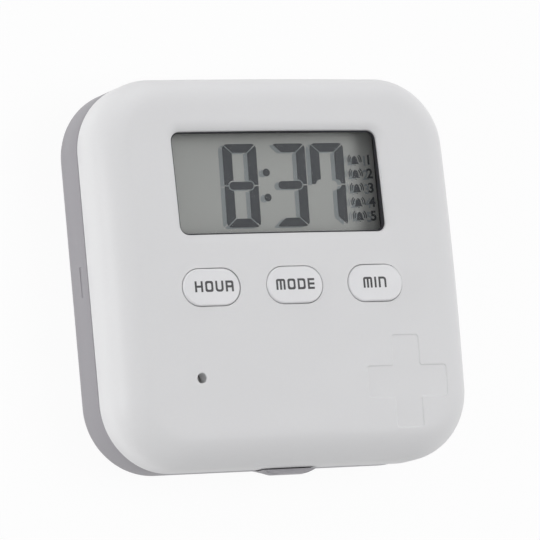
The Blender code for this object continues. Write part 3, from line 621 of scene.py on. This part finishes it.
def plusPlate(margin):
    near = plus["arm"] / 2 + margin
    far = plus["arm"] * 1.5 + margin
    lines = [-far, -near, near, far]
    ends = [(1, 0), (2, 0), (0, 1), (3, 1), (0, 2), (3, 2), (1, 3), (2, 3)]
    rounded = [(column, row, plus["endRound"]) for column, row in ends]
    rounded += [(column, row, plus["nookRound"]) for column in (1, 2) for row in (1, 2)]
    return moved(figure(lines, lines, [" # ", "###", " # "], rounded), plus["x"], plus["y"])


# The outline of the face, and those of all that is cut or pressed into it
def faceOutlines():
    support = cover["support"]
    funnel = window["surround"] + window["rim"] + support
    lampRadius = lampHole["radius"] + lampHole["round"] + support
    return [
        coverPlate(cover["edgeRound"] - cover["roundStart"]),
        plate(
            window["width"] + 2 * funnel, window["height"] + 2 * funnel, window["corner"] + funnel,
            window["cornerSteps"], window["x"], window["y"],
        ),
        *[keyPlate(keys["holeRound"] + support, x) for x in keys["places"].values()],
        plate(
            2 * lampRadius, 2 * lampRadius, lampRadius, lampHole["cornerSteps"], lampHole["x"], lampHole["y"]
        ),
        plusPlate(plus["round"] + support),
    ]


# The walls of the key holes, and of the lamp hole with its boss
def makeHoles(shape):
    support = cover["support"]
    wall = cover["wall"]
    margin = keys["holeRound"] + support
    keyWall = [(support, 0.0)] + overEdge(keys["holeRound"], keys["holeSteps"], 1, support)
    keyWall += [(margin, -keys["holeRing"]), (margin, -wall)]
    for x in keys["places"].values():
        carryLoop(shape, loopNear(shape, x, keys["y"]), keyWall, faceHeight)
    lampWall = [(support, 0.0)] + overEdge(lampHole["round"], lampHole["steps"], 1, support)
    inner = lampWall[-1][0]
    outer = inner - lampHole["boss"]
    depth = lampHole["depth"]
    lampWall += [(inner, -lampHole["ring"]), (inner, -depth), (outer, -depth), (outer, -wall)]
    carryLoop(shape, loopNear(shape, lampHole["x"], lampHole["y"]), lampWall, faceHeight)


# The window's surround sinks ever faster, and its small rim turns down to the lens
def sinkWindow(shape):
    support = cover["support"]
    slide = [(support, 0.0)]
    for share in sweep(0, 1, window["slideSteps"]):
        slide.append((support + window["surround"] * share, -window["sink"] * share ** window["curve"]))
    inwards, down = slide[-1]
    tilt = math.atan(window["curve"] * window["sink"] / window["surround"])
    radius = window["rim"] / (1 - math.sin(tilt))
    for angle in sweep(tilt, math.pi / 2, window["rimSteps"]):
        along = radius * (math.sin(angle) - math.sin(tilt))
        slide.append((inwards + along, down - radius * (math.cos(tilt) - math.cos(angle))))
    loop = carryLoop(shape, loopNear(shape, window["x"], window["y"]), slide, faceHeight)
    loop = carryLoop(shape, loop, [(0.0, window["floor"]), (-window["ledge"], window["floor"])])
    carryLoop(shape, loop, [(0.0, -cover["wall"])], faceHeight)


# The plus is pressed in, soft at its upper and lower edge
def pressPlus(shape):
    support = cover["support"]
    radius = plus["round"]
    depth = plus["depth"]
    turn = math.acos(1 - depth / (2 * radius))
    dip = [(support, 0.0)]
    for angle in sweep(0, turn, plus["steps"]):
        dip.append((support + radius * math.sin(angle), -radius * (1 - math.cos(angle))))
    for angle in sweep(turn, 0, plus["steps"]):
        inwards = support + radius * (2 * math.sin(turn) - math.sin(angle))
        dip.append((inwards, radius * (1 - math.cos(angle)) - depth))
    dip.append((dip[-1][0] + support, -depth))
    loop = carryLoop(shape, loopNear(shape, plus["x"], plus["y"]), dip, skinHeight)
    fillBetween(shape, loop, cover["faceStep"], lambda x, y: skinHeight(x, y) - depth)


# The outside: round edge, wall, the step that meets the tray's lip, and the inside up to the ceiling
def makeSkirt(shape):
    bend = cover["edgeRound"]
    wall = cover["wall"]
    seam = cover["seam"]
    lip = seam + cover["lip"]
    start = math.asin(cover["roundStart"] / bend)
    outside = []
    for angle in sweep(start, math.pi / 2, cover["edgeSteps"]):
        outside.append((cover["roundStart"] - bend * math.sin(angle), -bend * (1 - math.cos(angle))))
    loop = carryLoop(shape, loopNear(shape, 0, 0), outside, faceHeight)
    down = [(0.0, ring) for ring in cover["wallRings"]]
    down += [(inwards, seam + up) for inwards, up in cover["seamRound"]]
    down += [(cover["skirt"], seam), (cover["skirt"], lip), (wall, lip), (wall, cover["archFoot"])]
    loop = carryLoop(shape, loop, down)
    ceiling = bend - wall
    arch = [(wall, -bend)]
    for angle in sweep(0, math.pi / 2, cover["archSteps"]):
        arch.append((wall + ceiling * (1 - math.cos(angle)), -bend + ceiling * math.sin(angle)))
    carryLoop(shape, loop, arch, faceHeight)
    rest = [edge for loop in openEdges(shape) for edge in loop]
    fillBetween(shape, rest, cover["ceilingStep"], lambda x, y: faceHeight(x, y) - wall)


def makeCover():
    shape = joined(*[openLoop(outline, cover["faceStep"]) for outline in faceOutlines()])
    bmesh.ops.remove_doubles(shape, verts=shape.verts, dist=weld)
    fillBetween(shape, shape.edges[:], cover["faceStep"], skinHeight)
    makeHoles(shape)
    sinkWindow(shape)
    pressPlus(shape)
    makeSkirt(shape)
    # The lower edge slopes away beside the hinge
    cut = cutPast(shape, cover["hingeSlope"], (0, 1, -1), 0.001)
    bmesh.ops.holes_fill(shape, edges=[item for item in cut if isinstance(item, bmesh.types.BMEdge)])
    finishPiece(shape, "coverShell", shellWhite, "lid", ["front_cover"])


makeCover()


# Hinge: a rolled knuckle and a short web for each lid leaf
hinge = {
    "y": 46.3, "z": 10.0, "radius": 1.8, "sides": 48, "round": 0.2, "bore": 0.9, "boreSides": 24,
    "places": (-20.0, 20.0), "lidWidth": 9.0, "trayWidth": 4.5, "gap": 0.3, "webBack": 47.3,
    "webThickness": 1.5, "webTop": 14.2, "webRound": 0.15,
}


# A bar along the hinge's axis, with rounded rims
def hingeBar(left, right, radius, rounding, sides):
    shape = bmesh.new()
    bmesh.ops.create_cone(
        shape, cap_ends=True, segments=sides, radius1=radius, radius2=radius, depth=right - left
    )
    if rounding:
        rims = [edge for face in shape.faces if len(face.verts) > 4 for edge in face.edges]
        soften(shape, rims, rounding, 3)
    middle = Matrix.Translation(((left + right) / 2, hinge["y"], hinge["z"]))
    bmesh.ops.transform(shape, matrix=middle @ Matrix.Rotation(math.pi / 2, 4, "Y"), verts=shape.verts)
    return shape


# A knuckle with its webs, bored for the pin of the hinge at a place
def knuckle(left, right, place, webs):
    leaf = hingeBar(left, right, hinge["radius"], hinge["round"], hinge["sides"])
    if webs:
        leaf = carved(leaf, webs, "UNION")
    half = hinge["lidWidth"] / 2 + hinge["trayWidth"] + 1
    return carved(leaf, [hingeBar(place - half, place + half, hinge["bore"], 0, hinge["boreSides"])])


def makeLidKnuckles():
    half = hinge["lidWidth"] / 2
    parts = []
    for place in hinge["places"]:
        low = (place - half, hinge["webBack"] - hinge["webThickness"], hinge["z"])
        web = block(low, (place + half, hinge["webBack"], hinge["webTop"]), hinge["webRound"])
        parts.append(knuckle(place - half, place + half, place, [web]))
    finishPiece(joined(*parts), "lidKnuckles", shellWhite, "lid")


makeLidKnuckles()


# Tray: an open body with a lip, side slots, room for the hinge, a thumb tongue and ribs for the dividers
tray = {
    "wall": 1.9, "floor": 1.9, "floorRound": 0.6, "floorSteps": 4, "top": 11.2, "topRound": 0.45,
    "edgeRound": 2.7, "edgeSteps": 10, "wallRing": 6.0, "lip": 1.0, "lipIn": 1.1, "lipRound": 0.1,
    "lowerShare": 0.986, "turnSides": 64,
}
sideSlot = {"length": 7.4, "width": 1.5, "depth": 0.16, "z": 8.0, "round": 0.1}
tongue = {
    "width": 20.4, "flat": 8.0, "proud": 1.5, "bottom": 5.0, "full": 11.9, "top": 14.7, "steps": 14,
    "gap": 0.3, "round": 0.45,
}
ribs = {"size": 1.0, "dividerThickness": 1.4, "gap": 0.3, "top": 8.9, "round": 0.2}


# How far the tongue stands out of the wall, at a share of its half width
def tongueOut(share):
    rise = min(1, (1 - abs(share)) * tongue["width"] / (tongue["width"] - tongue["flat"]))
    inset = cover["height"] / 2 * (1 - tray["lowerShare"])
    return (tongue["proud"] + inset) * rise * rise * (3 - 2 * rise) - inset


# A bar with a flat middle and soft ramps. It reaches up in front of the cover's wall, and slopes back below.
def makeTongue():
    front = -cover["height"] / 2
    back = front + tray["wall"] / 2
    bottom = tongue["bottom"]
    top = tongue["top"]
    near = 0.1
    shape = bmesh.new()
    bmesh.ops.create_grid(shape, x_segments=2 * tongue["steps"], y_segments=1, size=0.5)
    for vert in shape.verts:
        share = vert.co.x * 2
        outer = vert.co.y < 0
        vert.co = (share * tongue["width"] / 2, front - tongueOut(share) if outer else back, bottom)
    thicken(shape, tongue["full"] - bottom)
    upper = [face for face in shape.faces if face.calc_center_median().z > tongue["full"] - near]
    made = bmesh.ops.extrude_face_region(shape, geom=upper)["geom"]
    bmesh.ops.delete(shape, geom=upper, context="FACES_ONLY")
    for item in made:
        if isinstance(item, bmesh.types.BMVert):
            item.co.z = top
    for vert in shape.verts:
        if vert.co.z < bottom + near:
            vert.co.y = max(vert.co.y, front * tray["lowerShare"] + 0.05)
    rims = [
        edge for edge in shape.edges
        if all(vert.co.z > top - near and vert.co.y < front + near for vert in edge.verts)
    ]
    soften(shape, rims, tongue["round"], 4)
    width = tongue["width"]
    space = block((-width, front - tongue["gap"], tray["top"]), (width, back + 1, top + 1), 0)
    return carved(shape, [space])


# The open body, from its bottom edge up over the lip and down to the floor
def trayBody():
    inset = tray["edgeRound"]
    wall = tray["wall"]
    lipIn = tray["lipIn"]
    top = tray["top"]
    rim = top + tray["lip"]
    small = tray["topRound"]
    nick = tray["lipRound"]
    bend = tray["floorRound"]
    places = [
        (0.0, tray["wallRing"]), (0.0, top - small), (0.3 * small, top - 0.3 * small), (small, top),
        (lipIn, top), (lipIn, rim - nick), (lipIn + nick, rim), (wall - nick, rim), (wall, rim - nick),
        (wall, tray["floor"] + bend),
    ]
    for angle in sweep(0, math.pi / 2, tray["floorSteps"]):
        places.append((wall + bend * (1 - math.cos(angle)), tray["floor"] + bend * (1 - math.sin(angle))))
    profile = [(sideways, -down) for sideways, down in overEdge(inset, tray["edgeSteps"], -1)]
    profile += [(inwards - inset, up) for inwards, up in places]
    shape = coverPlate(inset)
    loop = carryLoop(shape, shape.edges[:], profile)
    bmesh.ops.triangle_fill(shape, edges=loop, normal=(0, 0, 1), use_beauty=True)
    return shape


# What is cut out of it: the side slots, and room for the turning lid and its knuckles
def trayCuts():
    tools = []
    for side in (-1, 1):
        face = side * cover["width"] / 2
        xs = sorted((face - side * sideSlot["depth"], face + side))
        half = sideSlot["length"] / 2
        low = (xs[0], -half, sideSlot["z"] - sideSlot["width"] / 2)
        high = (xs[1], half, sideSlot["z"] + sideSlot["width"] / 2)
        tools.append(block(low, high, sideSlot["round"], 2))
    # The edge is round about the hinge, and notched for the lid's knuckles
    reach = cover["width"] / 2 + 1
    outer = block((-reach, hinge["y"], hinge["z"]), (reach, hinge["y"] + 4, tray["top"] + 4), 0)
    radius = cover["height"] / 2 - hinge["y"]
    tools.append(carved(outer, [hingeBar(-reach - 1, reach + 1, radius, 0, tray["turnSides"])]))
    half = hinge["lidWidth"] / 2 + hinge["gap"]
    clear = hinge["radius"] + hinge["gap"]
    for place in hinge["places"]:
        low = (place - half, hinge["y"] - clear, hinge["z"] - clear)
        tools.append(block(low, (place + half, cover["height"] / 2 + 1, tray["top"] + 3), 0))
    return tools


# Pairs of ribs on the four walls, which hold the dividers' ends
def trayRibs():
    near = ribs["dividerThickness"] / 2 + ribs["gap"]
    size = ribs["size"]
    wall = tray["wall"]
    parts = []
    for reach, turned in ((cover["width"] / 2 - wall, False), (cover["height"] / 2 - wall, True)):
        for end in (-1, 1):
            for side in (-1, 1):
                along = sorted((end * (reach - size), end * (reach + wall / 2)))
                across = sorted((side * near, side * (near + size)))
                first, second = (across, along) if turned else (along, across)
                low = (first[0], second[0], tray["floor"] - 1)
                parts.append(block(low, (first[1], second[1], ribs["top"]), ribs["round"]))
    return parts


def makeTray():
    shape = carved(trayBody(), trayCuts())
    # The half below the middle is a little shorter, so that the cover overhangs the tray's bottom edge
    for vert in shape.verts:
        if vert.co.y < 0:
            vert.co.y *= tray["lowerShare"]
    parts = [shape, makeTongue()]
    for place in hinge["places"]:
        for side in (-1, 1):
            near = place + side * (hinge["lidWidth"] / 2 + hinge["gap"])
            ends = sorted((near, near + side * hinge["trayWidth"]))
            parts.append(knuckle(ends[0], ends[1], place, []))
    finishPiece(joined(*parts, *trayRibs()), "trayShell", shellGrey, "tray", ["rear_tray"])


makeTray()


# The height of a keycap's low crown
def crownHeight(name, x, y):
    middle = keys["places"][name]
    fall = ((x - middle) ** 2 + 2 * (y - keys["y"]) ** 2) / (keys["holeLength"] ** 2 / 4) * keys["crown"]
    return faceHeight(middle, keys["y"]) + keys["proud"] - fall


# Keycaps: ovals with a low crown, a round edge and a flange under the face
def makeKeycap(name):
    def crowned(x, y):
        return crownHeight(name, x, y)

    support = keys["support"]
    inset = keys["gap"] + keys["round"] + support
    shape = openLoop(keyPlate(-inset, keys["places"][name]), keys["faceStep"])
    bmesh.ops.remove_doubles(shape, verts=shape.verts, dist=weld)
    fillBetween(shape, shape.edges[:], keys["faceStep"], crowned)
    edge = [(-support, 0.0)] + overEdge(keys["round"], keys["edgeSteps"], -1, -support)
    loop = carryLoop(shape, openEdges(shape)[0], edge, crowned)
    margin = -keys["flangeMargin"]
    loop = carryLoop(shape, loop, [
        (0.0, keys["skirtRing"]), (0.0, keys["flangeTop"]), (margin, keys["flangeTop"]),
        (margin, keys["flangeBottom"]),
    ])
    bmesh.ops.triangle_fill(shape, edges=loop, normal=(0, 0, 1), use_beauty=True)
    finishPiece(shape, "keycap." + name, keyWhite, "key_" + name, ["keycap_" + name])


for keyName in keys["places"]:
    makeKeycap(keyName)


# Words on the keys, in even squarish strokes
lettering = {
    "stroke": 0.52, "height": 2.65, "width": 2.12, "thickness": 0.03, "sink": 0.01, "gap": 0.62, "y": -4.57,
    "outerRound": 0.75, "innerRound": 0.35, "shoulder": 0.7, "waistDrop": 0.1,
}
words = {"hour": ("HOUR", -22.45), "mode": ("MODE", -0.8), "min": ("MIN", 21.2)}
wideLetters = {"M": 2.45, "E": 1.85, "I": lettering["stroke"]}


# A letter and its width. Each has columns, rows, cells, and the corners rounded outside and inside.
def letterShape(letter):
    s = lettering["stroke"]
    h = lettering["height"]
    wide = wideLetters.get(letter, lettering["width"])
    low = h / 2 - s / 2
    high = h / 2 + s / 2
    drop = lettering["waistDrop"]
    sides = [0, s, wide - s, wide]
    ends = [0, s, h - s, h]
    legs = [0, s, wide / 2 - s / 2, wide / 2 + s / 2, wide - s, wide]
    ring = ["###", "# #", "###"]
    letters = {
        "H": (sides, [0, low, high, h], ["# #", "###", "# #"], [], []),
        "O": (sides, ends, ring, [(0, 0), (3, 0), (0, 3), (3, 3)], [(1, 1), (2, 1), (1, 2), (2, 2)]),
        "U": (sides, [0, s, h], ["# #", "###"], [(0, 0), (3, 0)], [(1, 1), (2, 1)]),
        "D": (sides, ends, ring, [(3, 0), (3, 3)], [(2, 1), (2, 2)]),
        "R": (sides, [0, low - drop, high - drop, h - s, h], [*ring, "# #"], [(3, 4)], [(2, 3), (2, 2)]),
        "M": (legs, [0, h - s, h], ["#####", "# # #"], [(0, 2), (5, 2)], []),
        "E": ([0, s, wide], [0, s, low, high, h - s, h], ["##", "# ", "##", "# ", "##"], [], []),
        "N": (sides, [0, h - s, h], ["###", "# #"], [(3, 2)], [(2, 1)]),
        "I": ([0, wide], [0, h], ["#"], [], []),
    }
    columns, rows, cells, outside, inside = letters[letter]
    outer = lettering["outerRound"] * (lettering["shoulder"] if letter == "M" else 1)
    rounded = [(*corner, outer) for corner in outside]
    rounded += [(*corner, lettering["innerRound"]) for corner in inside]
    return figure(columns, rows, cells, rounded), wide


def makeWord(name, word, middle):
    letters = [letterShape(letter) for letter in word]
    full = sum(wide for shape, wide in letters) + lettering["gap"] * (len(word) - 1)
    x = middle - full / 2
    y = lettering["y"] - lettering["height"] / 2
    parts = []
    for shape, wide in letters:
        parts.append(thicken(moved(shape, x, y), lettering["thickness"] + lettering["sink"]))
        x += wide + lettering["gap"]
    shape = joined(*parts)
    for vert in shape.verts:
        vert.co.z += crownHeight(name, vert.co.x, vert.co.y) - lettering["sink"]
    finishPiece(shape, "word." + name, printedInk, "key_" + name)


for keyName, (word, middle) in words.items():
    makeWord(keyName, word, middle)


# Display: dark digits, bells and numbers just over the ground behind the glass, and under them a painted
# shadow of them on the ground.
# The shift makes up for the small height, as seen from the camera.
digits = {
    "width": 9.2, "height": 20.5, "upright": 2.5, "level": 2.15, "middle": 1.95, "middleLength": 6.55,
    "corner": 1.3, "cornerSteps": 7, "gap": 0.28, "lean": 0.026, "y": 20.74, "z": 20.06, "thickness": 0.04,
    "shift": (0.71, 0.20), "places": (("8", -9.57), ("3", 3.79), ("7", 14.4)),
    "colon": ((-2.5, 23.9), (-2.66, 17.73)), "dot": 0.95, "dotSteps": 8, "middleSteps": 9,
}
segments = {"8": "abcdefg", "3": "abcdg", "7": "abcf"}
# Where the painted shadow of the drawing lies: a flat darker copy on the ground, moved a little left and down
shade = {"z": 20.0, "thickness": 0.03, "x": -0.42, "y": -0.1}
bells = {
    "places": ((22.15, 26.6), (22.1, 23.15), (22.07, 19.6), (22.1, 16.05), (22.15, 12.65)), "size": 1.02,
    "half": (
        (0.0, 1.12), (0.18, 1.05), (0.42, 0.86), (0.6, 0.58), (0.7, 0.2), (0.76, -0.3), (0.9, -0.62),
        (1.12, -0.9),
    ),
    "clapper": ((-0.2, -1.08), (0.2, -1.08), (0.12, -1.3), (-0.12, -1.3)),
    "arcs": (1.28, 1.78), "arcHalf": 0.13, "arcStart": 0.3, "arcTurn": 1.15, "arcSteps": 9,
}
numbers = {"x": 26.0, "size": 3.35, "weight": 0.1}


# One stroke of a digit: a round-cornered plate cut down by planes, given as places and the way cut off
def stroke(planes):
    shape = plate(digits["width"], digits["height"], digits["corner"], digits["cornerSteps"])
    for place, way in planes:
        cutPast(shape, (*place, 0), (*way, 0), 0.0001)
    return shape


# The slanted plane between a level and an upright stroke, which keeps one of the two
def mitre(sideways, upwards, keepLevel):
    half = Vector((sideways * digits["width"] / 2, upwards * digits["height"] / 2))
    way = Vector((sideways * digits["level"], -upwards * digits["upright"])).normalized()
    if not keepLevel:
        way = -way
    return half - way * digits["gap"] / 2, way


def digitShape(digit):
    width = digits["width"]
    height = digits["height"]
    gap = digits["gap"]
    lit = segments[digit]
    strokes = []
    for name, upwards in (("a", 1), ("d", -1)):
        if name in lit:
            bound = ((0, upwards * (height / 2 - digits["level"])), (0, -upwards))
            strokes.append(stroke([bound, mitre(1, upwards, True), mitre(-1, upwards, True)]))
    for name, sideways, upwards in (("b", 1, 1), ("c", 1, -1), ("e", -1, -1), ("f", -1, 1)):
        if name in lit:
            bound = ((sideways * (width / 2 - digits["upright"]), 0), (-sideways, 0))
            split = ((0, upwards * gap / 2), (0, -upwards))
            strokes.append(stroke([bound, split, mitre(sideways, upwards, False)]))
    length = digits["middleLength"]
    wide = digits["middle"]
    steps = digits["middleSteps"]
    space = thicken(plate(length + 2 * gap, wide + 2 * gap, width, steps, 0, 0, -1), 3)
    shape = carved(thicken(joined(*strokes), digits["thickness"]), [space])
    if "g" in lit:
        shape = joined(shape, thicken(plate(length, wide, width, steps), digits["thickness"]))
    return shape


def bellShape():
    shape = bmesh.new()
    half = list(bells["half"])
    for outline in (half + [(-x, y) for x, y in reversed(half[1:])], bells["clapper"]):
        shape.faces.new([shape.verts.new((x, y, 0)) for x, y in outline])
    reach = bells["arcHalf"]
    for radius in bells["arcs"]:
        for sideways in (-1, 1):
            start = Vector((sideways * math.cos(bells["arcStart"]), -math.sin(bells["arcStart"]), 0))
            ends = [shape.verts.new(start * (radius + part)) for part in (-reach, reach)]
            bmesh.ops.spin(
                shape, geom=ends + [shape.edges.new(ends)], cent=(0, 0, 0), axis=(0, 0, 1),
                angle=sideways * bells["arcTurn"], steps=bells["arcSteps"], use_duplicate=False,
            )
    return shape


# A plain number from the built-in letters
def numberShape(text):
    curve = bpy.data.curves.new("number", "FONT")
    curve.body = text
    curve.size = numbers["size"]
    curve.offset = numbers["weight"]
    curve.align_x = "CENTER"
    curve.align_y = "CENTER"
    drawn = bpy.data.objects.new("number", curve)
    bpy.context.scene.collection.objects.link(drawn)
    mesh = bpy.data.meshes.new_from_object(drawn.evaluated_get(bpy.context.evaluated_depsgraph_get()))
    shape = bmesh.new()
    shape.from_mesh(mesh)
    bmesh.ops.remove_doubles(shape, verts=shape.verts, dist=0.001)
    bpy.data.objects.remove(drawn)
    bpy.data.meshes.remove(mesh)
    bpy.data.curves.remove(curve)
    return shape


def displayDrawing():
    parts = []
    thickness = digits["thickness"]
    for digit, x in digits["places"]:
        leaning = Matrix(((1, digits["lean"], 0, x), (0, 1, 0, digits["y"]), (0, 0, 1, 0), (0, 0, 0, 1)))
        parts.append((digitShape(digit), leaning))
    for x, y in digits["colon"]:
        dot = plate(2 * digits["dot"], 2 * digits["dot"], 2, digits["dotSteps"], x, y)
        parts.append(thicken(dot, thickness))
    for number, (x, y) in enumerate(bells["places"], 1):
        bell = bellShape()
        bmesh.ops.scale(bell, vec=(bells["size"], bells["size"], 1), verts=bell.verts)
        parts.append(thicken(moved(bell, x, y), thickness))
        parts.append(thicken(moved(numberShape(str(number)), numbers["x"], y), thickness))
    return joined(*parts)


def makeDisplay():
    drawing = moved(displayDrawing(), *digits["shift"], digits["z"])
    finishPiece(drawing, "displayDrawing", displayInk, "lid")
    # A flat darker copy of the drawing, moved aside on the ground: a painted shadow
    drawing = displayDrawing()
    bmesh.ops.scale(drawing, vec=(1, 1, shade["thickness"] / digits["thickness"]), verts=drawing.verts)
    moved(drawing, shade["x"], shade["y"], shade["z"])
    finishPiece(drawing, "displayShade", displayShade, "lid")


makeDisplay()


# Display glass: one laminated block on the ground, whose front sheet hangs over its contacts
glass = {
    "low": (-30.85, 6.6, 21.7), "high": (28.25, 35.0, 22.8), "ledge": 2.6, "bottom": 19.98, "overlap": 0.4,
    "round": 0.12,
}


def makeGlass():
    low = Vector(glass["low"])
    high = Vector(glass["high"])
    front = block(low, high, glass["round"])
    rearLow = (low.x, low.y + glass["ledge"], glass["bottom"])
    rear = block(rearLow, (high.x, high.y, low.z + glass["overlap"]), glass["round"])
    replaced = ["lcd_front_glass", "lcd_rear_glass"]
    shape = carved(front, [rear], "UNION")
    finishPiece(shape, "displayGlass", glassClear, "lid", replaced)


makeGlass()


# A foam frame on the lens, against the window's walls. Its near-black colour is partly painted shade, which
# stands for the shade that falls on those walls.
gasket = {
    "clearance": 0.06, "cornerSteps": 8, "sideStep": 3.0, "thickness": 0.3, "slope": 0.08, "crest": 0.1,
    "bottom": 24.12, "below": 0.75,
}


def makeGasket():
    width = window["width"] - gasket["clearance"]
    height = window["height"] - gasket["clearance"]
    outline = plate(width, height, window["corner"], gasket["cornerSteps"], window["x"], window["y"])
    shape = openLoop(outline, gasket["sideStep"])
    start = shape.edges[:]
    for vert in shape.verts:
        vert.co.z = gasket["bottom"]

    def rim(x, y):
        return faceHeight(x, y) - window["sink"] - gasket["below"]

    slope = gasket["slope"]
    crest = gasket["crest"]
    thickness = gasket["thickness"]
    over = [(0.0, 0.0), (slope, crest), (thickness - slope, crest), (thickness, 0.0)]
    loop = carryLoop(shape, carryLoop(shape, start, over, rim), [(0.0, gasket["bottom"])])
    bmesh.ops.bridge_loops(shape, edges=start + loop)
    finishPiece(shape, "windowGasket", gasketFoam, "lid")


makeGasket()


# Finishes of the pieces that keep their own shape, by how their names start
kept = (
    (shellGrey, ("divider_",)),
    (plainSteel, ("hinge_pin_", "crystal_can", "battery_spring_")),
    (turnedSteel, ("panel_screw_", "board_screw_")),
    (giltPlate, ("contact_",)),
    (lensClear, ("display_lens",)),
    (lampResin, ("led_lamp",)),
    (displayGround, ("lcd_reflector",)),
    (holderBlack, ("lcd_holder", "sounder", "switch_body_")),
    (contactRubber, ("zebra_strip", "switch_plunger_")),
    (boardLaminate, ("circuit_board",)),
    (chipResin, ("chip_cover",)),
    (cellSleeve, ("capacitor", "battery_cell_")),
    (innerWhite, ("battery_cradle", "battery_door", "inner_panel")),
)


def dressKept():
    dressed = 0
    for look, starts in kept:
        for node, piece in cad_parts.items():
            if node.startswith(starts):
                piece.data.materials.clear()
                piece.data.materials.append(look)
                dressed += 1
    print("finishes given to", dressed, "kept pieces")


dressKept()


# Room: a pale floor, a soft sky and three soft lamps
room = {
    "floorSize": 8.0, "floorColour": 0.92, "floorDrift": 0.01, "floorShow": 0.94, "floorGlow": 0.6,
    "lowerShare": 0.4, "ambient": 0.58,
}


def makeFloor():
    finish = newFinish("paleFloor")
    drift = finish.noise(3.0, 3)
    levels = (room["floorColour"] - room["floorDrift"], room["floorColour"] + room["floorDrift"])
    colour = finish.tint(drift, *[(level, level, level) for level in levels])
    matt = finish.add("ShaderNodeBsdfDiffuse", {}, {"Color": colour, "Roughness": 0.5})
    bright = finish.add("ShaderNodeEmission", {}, {"Color": (1, 1, 1, 1), "Strength": 1.0})
    seen = finish.add("ShaderNodeLightPath", {}, {}, "Is Camera Ray")
    share = seen * (room["floorShow"] - room["floorGlow"]) + room["floorGlow"]
    shader = finish.add("ShaderNodeMixShader", {}, {0: share, 1: matt, 2: bright})
    finish.add("ShaderNodeOutputMaterial", {}, {"Surface": shader})
    shape = bmesh.new()
    bmesh.ops.create_grid(shape, x_segments=1, y_segments=1, size=room["floorSize"] / 2)
    mesh = bpy.data.meshes.new("floor")
    shape.to_mesh(mesh)
    shape.free()
    mesh.materials.append(finish.owner)
    floor = bpy.data.objects.new("floor", mesh)
    bpy.context.scene.collection.objects.link(floor)


makeFloor()


# The camera and glossy reflections see plain white. Other light is weaker from below the display.
def makeSky():
    world = bpy.data.worlds.new("softRoom")
    bpy.context.scene.world = world
    finish = Finish(world)
    seen = [finish.add("ShaderNodeLightPath", {}, {}, name) for name in ("Is Camera Ray", "Is Glossy Ray")]
    plain = finish.add("ShaderNodeBackground", {}, {"Color": (1, 1, 1, 1), "Strength": 1.0})
    way = finish.add("ShaderNodeTexCoord", {}, {}, "Generated")
    upwards = finish.add("ShaderNodeSeparateXYZ", {}, {0: way}, "Y").ramp(-1, 0.3)
    level = room["ambient"] * (upwards * (1 - room["lowerShare"]) + room["lowerShare"])
    soft = finish.add("ShaderNodeBackground", {}, {"Color": (0.98, 0.98, 1, 1), "Strength": level})
    shader = finish.add("ShaderNodeMixShader", {}, {0: seen[0].atLeast(seen[1]), 1: soft, 2: plain})
    finish.add("ShaderNodeOutputWorld", {}, {"Surface": shader})


makeSky()

# Each lamp: the way towards it, its strength as a share of full white, and how wide it is in degrees
lamps = {
    "lampRight": ((0.57, -0.03, 0.82), 0.35, 36),
    "lampLeft": ((-0.99, 0.0, 0.0), 0.72, 20),
    "lampTop": ((0.1, 0.97, 0.1), 0.16, 30),
}
for lampName, (way, strength, width) in lamps.items():
    light = bpy.data.lights.new(lampName, "SUN")
    light.energy = strength * math.pi
    light.angle = math.radians(width)
    lamp = bpy.data.objects.new(lampName, light)
    lamp.rotation_euler = Vector(way).to_track_quat("Z", "Y").to_euler()
    bpy.context.scene.collection.objects.link(lamp)

# Camera: a long lens, high and to the left
viewer = {
    "place": (-0.53096, -0.15038, 1.02661), "turn": (10.2656, -26.8380, -5.9393), "angle": 6.529,
    "farthest": 20,
}
lens = bpy.data.cameras.new("camera")
lens.angle = math.radians(viewer["angle"])
lens.clip_end = viewer["farthest"]
camera = bpy.data.objects.new("camera", lens)
camera.location = viewer["place"]
camera.rotation_euler = [math.radians(turn) for turn in viewer["turn"]]
bpy.context.scene.collection.objects.link(camera)
bpy.context.scene.camera = camera
bpy.context.scene.view_settings.view_transform = "Standard"

print("scene made")
